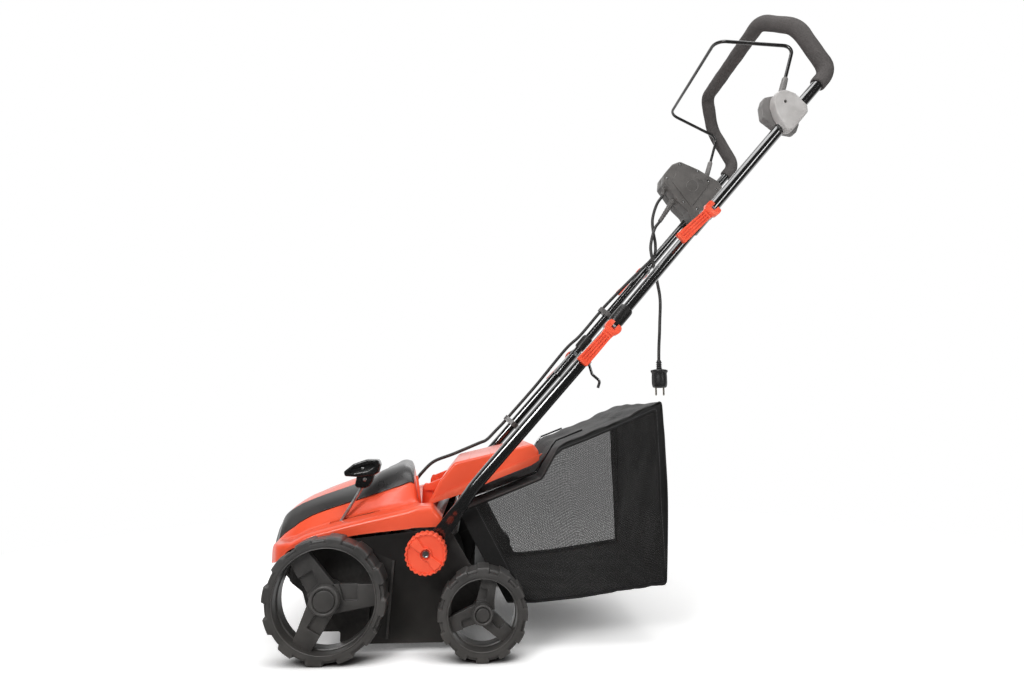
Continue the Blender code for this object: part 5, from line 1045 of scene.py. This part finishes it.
# Cam lever: the outline seen from the side of the machine crossed with the outline seen along its pin, then
# long grooves in its face, a cross ridge over the disc and the slot for the bolt's barrel.
def camLever(name, bolt, slope, look):
    t = math.radians(slope)
    dx, dz = math.cos(t), math.sin(t)

    def flatways(s, y, w):
        return bolt[0] + dx * s - dz * w, y, bolt[1] + dz * s + dx * w

    def sideways(s, w, y):
        return bolt[0] + dx * s - dz * w, -y, bolt[1] + dz * s + dx * w

    discTurn = np.radians(np.linspace(48, 312, 40))
    face = [(0.002 + look["disc"] * math.cos(a), look["disc"] * math.sin(a)) for a in discTurn]
    shank = [(0.015, -0.01), (0.026, -0.0092), (0.044, -0.0098), (look["long"], -0.0112)]
    shank += [(s, -w) for s, w in reversed(shank)]
    face += softCorners(shank, [0, 0.01, 0.02, 0.0022, 0.0022, 0.02, 0.01, 0], 4, closed=False).tolist()
    lever = plate(name, face, -0.3, -0.2, place=flatways)
    rollTurn = np.radians(np.linspace(90, 290, 26))
    y = look["y"]
    edge = [(look["roll"] * math.cos(a), y + look["roll"] * math.sin(a)) for a in rollTurn]
    shank = [(0.011, y - 0.003), (0.03, y - 0.0016), (look["long"], y - 0.0052), (look["long"], y + 0.0042),
             (0.06, y + 0.008), (0.03, y + 0.0094)]
    edge += softCorners(shank, [0.002, 0.01, 0.0015, 0.0015, 0.02, 0.01], 4, closed=False).tolist()
    withTool(lever, plate("profile", edge, -0.02, 0.02, place=sideways), "INTERSECT")
    slot = softCorners(oblong(-0.02, 0.0052, -look["slotHalf"], look["slotHalf"]), 0.0008, 2)
    tools = [plate("slot", slot, -0.3, -0.2, place=flatways)]
    groove = [(0.0225, y + 0.0086), (0.024, y + 0.0078), (0.056, y + 0.007), (0.079, y + 0.0038), (0.0805, y + 0.005),
              (0.0805, y + 0.02), (0.0225, y + 0.02)]
    for w in look["grooves"]:
        tools.append(plate("groove", groove, w - look["grooveHalf"], w + look["grooveHalf"], place=sideways))
    notch = [(0.0165, y + 0.0078), (0.0195, y + 0.0078), (0.02, y + 0.02), (0.016, y + 0.02)]
    tools.append(plate("notch", notch, -0.02, 0.02, place=sideways))
    return roundEdges(cutOut(lever, *tools), 0.0006, 2, 40)


washerProfile = [(0.0035, -0.2107), (0.0118, -0.2107), (0.0125, -0.2101), (0.0125, -0.2069), (0.0118, -0.2063),
                 (0.0035, -0.2063)]
for title, (bolt, slope, body) in cam["slopes"].items():
    lever = camLever(title + "LeverNear", bolt, slope, cam)
    fitBoth(lever, "orangeSatin", "orange_plastic", title + "_lever_side", title + "_cam_lever_side")
    washer = lathe(title + "WasherNear", bolt, washerProfile, 64)
    fitBoth(washer, "boxBlack", "black_plastic", body, title + "_pivot_washer_side")
print("cam levers")

box = {"outline": [(0.7215, 1.002), (0.724, 1.026), (0.745, 1.051), (0.766, 1.0595), (0.8135, 1.0388), (0.866, 1.007),
                   (0.877, 0.9874), (0.793, 0.8902), (0.78, 0.925), (0.7592, 0.9461)],
       "round": [0.008, 0.01, 0.012, 0.012, 0.02, 0.008, 0.006, 0.006, 0.01, 0.004],
       "panel": [(0.7601, 1.0425), (0.8051, 1.035), (0.84, 1.0133), (0.8413, 1.0017), (0.7904, 0.9352),
                 (0.7418, 1.0033)],
       "screws": [(0.7657, 1.0513), (0.7296, 1.0135), (0.7704, 0.95), (0.8114, 1.0337), (0.8378, 1.0071),
                  (0.8584, 0.9855), (0.806, 0.9324)],
       "near": 0.172, "far": 0.238, "seam": 0.206, "gap": 0.0004, "channel": 0.0112}


# A round bar of changing radius between points, given as (x, y, z, radius).
def turnedBar(name, stations, count=40):
    stations = np.asarray(stations, float)
    return sweep(name, stations[:, :3], stations[:, 3], count, angle=34)


# Room for the upper handle's tube in the box and the bracket.
def upperChannel(y):
    way = np.array([0.6538, 0, 0.7567])
    start = np.array([0.776, y, 0.8928]) - way * 0.06
    return turnedBar("channel", [(*start, box["channel"]), (*(start + way * 0.24), box["channel"])], 48)


outline = softCorners(box["outline"], box["round"], 7)
lipOutline = (outline - outline.mean(0)) * 0.985 + outline.mean(0)
near, seam, gap = box["near"], box["seam"], box["gap"]
shellHalves = [plate("boxNear", outline, near, seam - gap, 0.0028, 4),
               plate("boxFar", outline, seam + gap, box["far"], 0.0028, 4),
               plate("boxLip", lipOutline, seam - 0.002, seam + 0.002)]
bailSlot = [(0.8218, 1.0009), (0.8426, 1.0613), (0.8843, 1.0305), (0.8324, 0.9928)]
for half in shellHalves:
    cutOut(half, upperChannel(0.22), plate("bailSlot", bailSlot, 0.1888, 0.2012))
panelPiece = plate("boxPanel", softCorners(box["panel"], 0.006, 6), near - 0.0018, near + 0.004, 0.001)
for spot in box["screws"]:
    for part in (shellHalves[0], panelPiece):
        cutOut(part, drill(spot, 0.0033, 0.16, near + 0.003, 24))
rimRing = lathe("boxRim", (0.795, 0.993), [(0.0142, near - 0.0018), (0.015, near - 0.0024), (0.0158, near - 0.0018),
                                           (0.0158, near + 0.002), (0.0142, near + 0.002)], 64)
gland = turnedBar("gland", [(0.7345, 0.195, 1.012, 0.0072), (0.7318, 0.195, 1.0022, 0.0072),
                            (0.7312, 0.195, 1.0, 0.006), (0.729, 0.195, 0.992, 0.0058),
                            (0.7268, 0.195, 0.9842, 0.0052), (0.7243, 0.195, 0.9752, 0.0046)])
s = np.linspace(0, 1, 49)
ribbed = 0.0078 - 0.0026 * s - 0.0009 * (np.sin(s * turn * 8) > 0.2) * (s > 0.12) * (s < 0.9)
bootEnds = np.array([[0.752, 0.1955, 0.962], [0.7123, 0.19, 0.9024]])
bootPath = bootEnds[0] + (bootEnds[1] - bootEnds[0]) * s[:, None]
boot = sweep("boot", bootPath, ribbed, 40, angle=30)
nut = turnedBar("nut", [(0.7592, 0.1955, 0.9742, 0.0088), (0.756, 0.1955, 0.969, 0.0092),
                        (0.7478, 0.1953, 0.9558, 0.0092), (0.7466, 0.1953, 0.954, 0.0082),
                        (0.7455, 0.1952, 0.952, 0.0078)], 12)
finOutline = np.array([(0, 0), (0.018, -0.0105), (0.0172, -0.012), (-0.0008, -0.0015)])
ventFins = [plate("fin", softCorners(finOutline + place, 0.0004, 2), near - 0.0026, near + 0.001, 0.0003)
            for place in ((0.802, 1.019), (0.8043, 1.015), (0.8066, 1.011))]
switchBox = joined("switchBox", *shellHalves, panelPiece, rimRing, gland, boot, nut, *ventFins)
fit(switchBox, "boxGrey", "dark_plastic", "upper_section", "switch_box")
boxScrews = joined("boxScrews", *[screwHead("boxScrew", spot, 0.0026, near + 0.0014) for spot in box["screws"]])
fit(boxScrews, "screwSteel", "zinc_steel", "upper_section")
buttonAt = (0.79, 0.985)
button = lathe("pushButton", buttonAt, [(0, 0.2426), (0.003, 0.2424), (0.0052, 0.2418), (0.0062, 0.241),
                                        (0.0067, 0.2398), (0.0068, 0.2385), (0.0068, 0.229), (0, 0.229)], 64)
fit(button, "boxBlack", "black_plastic", "push_button", "push_button")
buttonRing = lathe("buttonRing", buttonAt, [(0.0076, 0.237), (0.0076, 0.2392), (0.0084, 0.2398), (0.01, 0.2392),
                                            (0.0104, 0.237)], 64)
fit(buttonRing, "boxBlack", "black_plastic", "upper_section")

bail = {"pivot": (0.828, 0.998), "bends": [0, 0.006, 0.02, 0.018, 0.03], "rod": 0.0035}
px, pz = bail["pivot"]
bailHalf = [(px, -0.217, pz), (px, -0.195, pz), (0.846, -0.195, 1.037), (0.8765, -0.195, 1.139), (0.737, -0.15, 1.177)]
bailRod = sweep("bailRod", bentTube(bailHalf, bail["bends"], 12), bail["rod"], 24)
fit(bailRod, "bailRodBlack", "dark_rod", "bail", "bail_rod")
sleeveRoute = [(0.8395, 1.0225), (0.8425, 1.029), (0.8448, 1.0345), (0.85, 1.051), (0.8548, 1.0668), (0.8556, 1.0695)]
sleeveRadius = [0.0052, 0.0062, 0.0065, 0.0064, 0.006, 0.0046]
sleeves = [sweep("sleeve", np.insert(sleeveRoute, 1, y, 1), sleeveRadius, 32) for y in (-0.195, 0.195)]
fit(joined("bailSleeves", *sleeves), "midGrey", "grey_plastic", "bail")

outer = softCorners([(0.805, 0.989), (0.808, 1.012), (0.829, 1.0175), (0.848, 1.011), (0.87, 0.987), (0.871, 0.974),
                     (0.84, 0.937), (0.827, 0.9345), (0.8105, 0.967)], [0.014, *[0.016] * 3, *[0.008] * 4, 0.02], 8)
bracketOuter = plate("bracketOuter", outer, -0.242, -0.2202, 0.0034, 5)
cutOut(bracketOuter, upperChannel(-0.22), drill((0.827, 0.9928), 0.0034, -0.26, -0.23))
fit(bracketOuter, "bracketGrey", "grey_plastic", "upper_section", "bail_bracket_outer")
inner = softCorners([(0.79, 0.995), (0.796, 1.012), (0.824, 1.018), (0.844, 1.006), (0.864, 0.96), (0.856, 0.939),
                     (0.824, 0.944), (0.792, 0.97)], 0.008, 6)
bracketInner = plate("bracketInner", inner, -0.2198, -0.203, 0.002, 3)
cutOut(bracketInner, upperChannel(-0.22), drill(bail["pivot"], 0.0039, -0.2185, -0.19))
fit(bracketInner, "midGrey", "dark_plastic", "upper_section", "bail_bracket_inner")
print("switch box and bail")

bag = {"top": [(0.214, 0.231), (0.288, 0.26), (0.362, 0.289), (0.393, 0.344), (0.406, 0.352), (0.494, 0.386),
               (0.582, 0.426)],
       "bottom": [(0.301, 0.075), (0.35, 0.074), (0.431, 0.081), (0.51, 0.093), (0.58, 0.101)],
       "half": 0.192, "corner": 0.01, "rows": 170, "sideSteps": 70, "acrossSteps": 80, "backRows": 26,
       "window": [(0.2485, 0.25), (0.2846, 0.264), (0.348, 0.29), (0.356, 0.299), (0.378, 0.3192), (0.3985, 0.338),
                  (0.4414, 0.354), (0.4958, 0.376), (0.57, 0.408), (0.577, 0.11), (0.506, 0.0995), (0.431, 0.0885),
                  (0.35, 0.0815), (0.333, 0.082), (0.244, 0.2475)],
       "topFrom": 0.405, "topTo": 0.53, "sideSag": 0.006, "topSag": 0.0085, "bottomSag": 0.005, "backBulge": 0.004,
       "pleat": 0.0016, "fanFrom": (0.6, 0.44), "fanFolds": 34, "rearBow": 0.006, "waver": 0.0012,
       "ripple": (0.0016, 0.0012), "crease": (0.0016, 0.0013)}


# Loop of the bag's cross section as (across, share of the height), a rectangle with rounded corners, and a sine
# over each face for its sag. The first half runs over the bottom and up the far side, and the second is its
# opposite.
def bagLoop(look, height):
    h, r = look["half"], look["corner"]
    a = np.linspace(0, math.pi / 2, 6)[1:-1]
    side, across = np.linspace(0, 1, look["sideSteps"]), np.linspace(0, 1, look["acrossSteps"])
    flat, zero = across * 0, np.zeros_like(a)
    y = [-h + r + across * (2 * h - 2 * r), h - r + r * np.sin(a), np.full(len(side), h), h - r + r * np.cos(a)]
    constant = np.concatenate([flat, zero, side * 0, zero + 1])
    metric = [flat, r * (1 - np.cos(a)), r * (1 - 2 * side), -r * (1 - np.sin(a))]
    y, metric, linear = (np.concatenate(half) for half in (y, metric, [flat, zero, side, zero]))
    y, metric, linear = (np.append(half, -half) for half in (y, metric, linear))
    share = (np.append(constant, 1 - constant) + linear)[None] + metric[None] / height[:, None]
    sideBump = np.tile(np.concatenate([flat, zero, np.sin(math.pi * side), zero]), 2)
    lidBump = np.tile(np.concatenate([np.sin(math.pi * across), zero, side * 0, zero]), 2)
    return y, share, sideBump, lidBump


# Signed distance to a closed outline in x and z: positive inside.
def insideBy(x, z, outline):
    outline = np.asarray(outline, float)
    nearest = np.full(x.shape, 9.0)
    inside = np.zeros(x.shape, bool)
    for (ax, az), (bx, bz) in zip(outline, np.roll(outline, -1, 0)):
        t = np.clip(((x - ax) * (bx - ax) + (z - az) * (bz - az)) / ((bx - ax)**2 + (bz - az)**2), 0, 1)
        nearest = np.minimum(nearest, np.hypot(x - ax - t * (bx - ax), z - az - t * (bz - az)))
        crosses = (az > z) != (bz > z)
        inside ^= crosses & (x < (bx - ax) * (z - az) / (bz - az + 1e-12) + ax)
    return np.where(inside, nearest, -nearest)


# The bag is lofted from its mouth to its back between a lower and an upper curve, then closed by a back panel
# of shrinking loops. Sides sag in and top and bottom sag down as sines between their seams, and creases
# fan out from the upper rear corner and run down the back.
def bagSurface(look):
    top, bottom = evenly(look["top"], look["rows"]), evenly(look["bottom"], look["rows"])
    top = np.concatenate([top[:1], (top[:-2] + 2 * top[1:-1] + top[2:]) / 4, top[-1:]])
    height = np.linalg.norm(top - bottom, axis=1)
    y, share, sideBump, lidBump = bagLoop(look, height)
    flat = bottom[:, None] + (top - bottom)[:, None] * share[..., None]
    s = np.linspace(0, 1, look["rows"])[:, None]
    t = np.clip(share, 0, 1)
    x, z = flat[..., 0].copy(), flat[..., 1].copy()
    x += look["rearBow"] * np.sin(math.pi * t) * s**3
    across = np.broadcast_to(y, x.shape).copy()
    rear = smoothStep(s, 0.25, 0.95)
    fanX, fanZ = look["fanFrom"]
    fan = np.sin(look["fanFolds"] * np.arctan2(z - fanZ, fanX - x) + 2.2 * np.sin(9 * s)) * rear
    pull = look["sideSag"] * np.sin(math.pi * s**0.8) + look["pleat"] * fan
    pull = pull + look["waver"] * np.sin(s * 23 + t * 9 + 2.0 * (across > 0)) * rear
    sides = sideBump * smoothStep(s, 0.0, 0.06)
    across -= np.sign(across) * sides * pull
    upper = share > 0.5
    lids = lidBump * smoothStep(s, 0.02, 0.2)
    broad, fine = look["ripple"]
    ripple = broad * np.sin(s * 41 + across * 17) + fine * np.sin(across * 61 + s * 13)
    topSag = look["topSag"] * np.sin(math.pi * s**1.6) + 0.7 * ripple
    z -= lids * np.where(upper, topSag, look["bottomSag"] * np.sin(math.pi * s) + ripple * 0.8)
    edgeWave = smoothStep(s, 0.35, 0.9) * (broad * np.sin(s * 57 + across * 5) + fine * np.sin(s * 29))
    z += np.where(upper, edgeWave * 0.8, edgeWave * 0.4)
    body = np.stack([x, across, z], -1)
    ring = body[-1]
    middle = ring.mean(0)
    k = np.linspace(1, 0, look["backRows"] + 1)[1:, None, None] ** 1.1
    back = middle + (ring - middle)[None] * k
    across, up, k = back[..., 1], back[..., 2], k[..., 0]
    broad, fine = look["crease"]
    crease = np.sin(across * 52 + 3 * up * 9) * broad + np.sin(up * 46 + across * 21) * fine
    back[..., 0] += look["backBulge"] * (1 - k**2) + crease * np.sin(math.pi * k)**0.8 * (k < 1)
    return np.concatenate([body, back])


bagGrid = bagSurface(bag)
rowsCount, columnsCount = bagGrid.shape[:2]
bagMesh = bpy.data.meshes.new("collectingBag")
bagFaces = gridFaces(rowsCount, columnsCount, closeColumns=True)
bagMesh.from_pydata((bagGrid.reshape(-1, 3) + shift).tolist(), [], bagFaces)
step = np.linalg.norm(np.diff(bagGrid, axis=0), axis=2)
alongWay = np.concatenate([np.zeros((1, columnsCount)), np.cumsum(step, 0)])
step = np.linalg.norm(np.diff(bagGrid, axis=1, append=bagGrid[:, :1]), axis=2)
roundWay = np.cumsum(step, 1) - step
inBody = np.arange(rowsCount)[:, None] < bag["rows"]
isSide = (np.abs(bagGrid[..., 1]) > bag["half"] - 0.022) & inBody
panelDistance = np.where(isSide, insideBy(bagGrid[..., 0], bagGrid[..., 2], bag["window"]), -0.05)
fromTopSeams = np.minimum(np.minimum(bagGrid[..., 0] - bag["topFrom"], bag["topTo"] - bagGrid[..., 0]),
                          bag["half"] - 0.016 - np.abs(bagGrid[..., 1]))
isTop = ~isSide & inBody & (bagGrid[..., 2] > 0.33)
panelDistance = np.where(isTop, fromTopSeams, panelDistance).reshape(-1)
attribute = bagMesh.attributes.new("panel", "FLOAT", "POINT")
attribute.data.foreach_set("value", panelDistance.astype(np.float32))
layer = bagMesh.uv_layers.new(name="weave")
corner = np.empty(len(bagMesh.loops), np.int32)
bagMesh.loops.foreach_get("vertex_index", corner)
flatUv = np.stack([alongWay.reshape(-1)[corner], roundWay.reshape(-1)[corner]], 1)
layer.data.foreach_set("uv", flatUv.reshape(-1).astype(np.float32))
bagPiece = linked("collectingBag", bagMesh)
bagMesh.validate()
bagMesh.shade_smooth()
faceOutward(bagPiece, (0.42, 0, 0.22))


# Coated cloth with open mesh panels. The panel attribute is the distance inside a panel's seam: past a hem
# with a row of stitches the cloth turns to mesh, whose holes let light through more in some cells than in
# others, where its threads lie over each other.
def bagMaterial(name, look):
    mat, tree = clearMaterial(name)
    uv = node(tree, "SeparateXYZ", {"Vector": node(tree, "UVMap", {}, uv_map="weave").outputs["UV"]})
    panel = node(tree, "Attribute", {}, attribute_name="panel").outputs["Fac"]
    waves = []
    for axis in ("X", "Y"):
        angle = times(tree, uv.outputs[axis], look["threads"] * turn / 2)
        waves.append(sums(tree, "ABSOLUTE", sums(tree, "SINE", angle, 0), 0))
    height = sums(tree, "MAXIMUM", waves[0], waves[1])
    where = objectSpace(tree)
    slow, lint = noise(tree, where, 11, 5), noise(tree, where, 380, 3)
    opened = between(tree, panel, 0.0, 0.0008, 0, 1)
    thread = between(tree, height, 0.4, 1.0, 0.5, 1)
    tone = times(tree, thread, between(tree, plus(tree, slow, lint), 0.75, 1.3, 0.25, 1))
    cloth = mixed(tree, tone, look["dark"], look["light"])
    net = mixed(tree, tone, look["netDark"], look["netLight"])
    colour = mixed(tree, opened, cloth, net)
    run = sums(tree, "SINE", times(tree, plus(tree, uv.outputs["X"], uv.outputs["Y"]), 1900), 0)
    row = sums(tree, "COMPARE", panel, -0.0035)
    row.node.inputs[2].default_value = 0.0005
    stitch = times(tree, row, between(tree, run, -0.2, 0.0, 0, 1))
    colour = mixed(tree, stitch, colour, (0.07, 0.07, 0.072))
    weave = bumps(tree, 0.45, 0.0004, height)
    hem = bumps(tree, 0.6, 0.0012, sums(tree, "SUBTRACT", 1, opened), weave)
    soft = bumps(tree, 0.5, 0.01, slow, hem)
    shader = shaded(tree, Base_Color=colour, Roughness=0.62, Specular_IOR_Level=0.25, Sheen_Weight=0.05,
                    Sheen_Roughness=0.5, Normal=soft)
    cells = []
    for first, second in ((1130, 420), (-520, 1290)):
        along, across = times(tree, uv.outputs["X"], first), times(tree, uv.outputs["Y"], second)
        cells.append(sums(tree, "SINE", plus(tree, along, across), 0))
    cell = times(tree, cells[0], cells[1])
    through = between(tree, height, 0.35, 0.95, look["clearMost"], look["clearLeast"])
    through = plus(tree, through, times(tree, cell, look["uneven"]))
    through = times(tree, through, between(tree, lint, 0.3, 0.7, 0.85, 1.15))
    slant = node(tree, "LayerWeight", {"Blend": 0.5}).outputs["Facing"]
    through = times(tree, through, between(tree, slant, 0.35, 0.9, 1, 0.12))
    tree.links.new(sums(tree, "SUBTRACT", 1, times(tree, opened, through)), shader.inputs["Alpha"])
    return mat


bagLook = {"threads": 900, "dark": (0.005, 0.005, 0.005), "light": (0.014, 0.0136, 0.0133),
           "netDark": (0.008, 0.0077, 0.0075), "netLight": (0.026, 0.0252, 0.0247), "clearMost": 0.66,
           "clearLeast": 0.25, "uneven": 0.22}
mats["bag"] = bagMaterial("bag", bagLook)
fit(bagPiece, "bag", "bag_fabric", "bag", "bag_shell")

# Piping follows the seams: along the upper edge, down the back and forward along the lower edge of each side.
corners = {"upper": bag["acrossSteps"] + 4 + bag["sideSteps"] + 2, "lower": bag["acrossSteps"] + 2}
lastRow = bag["rows"] - 1
backColumns = np.arange(corners["upper"], corners["lower"] - 1, -1)
piping = np.concatenate([bagGrid[:lastRow, corners["upper"]], bagGrid[lastRow, backColumns],
                         bagGrid[lastRow - 1::-1, corners["lower"]]])
piping = evenly((piping[:-2] + piping[1:-1] + piping[2:]) / 3, 420)
pipingFar = sweep("pipingFar", piping, 0.0019, 12)
pipingNear = mirrored(pipingFar, "pipingNear")
fit(joined("bagPiping", pipingNear, pipingFar), "pipingBlack", "bag_fabric", "bag")

# CAD nodes that are shown as they are.
carried = {
    "deckBlack": ["deck_housing"],
    "zincSteel": ["depth_rod", "front_crank_axle", "rear_axle", "lower_cam_bolt_near", "lower_cam_bolt_far",
                  "upper_cam_bolt_near", "upper_cam_bolt_far", "drum_bearing_near", "drum_bearing_far"],
    "knifeSteel": ["knife_drum"], "motorGrey": ["motor_body", "motor_rotor", "drum_pulley"],
    "cordRubber": ["drive_belt"], "boxBlack": ["cable_clip_lower", "cable_clip_upper"],
    "wirePaint": ["cord_hook", "bag_frame"]}
for look, names in carried.items():
    for name in names:
        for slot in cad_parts[name].material_slots:
            slot.material = mats[look]
print("carried nodes")
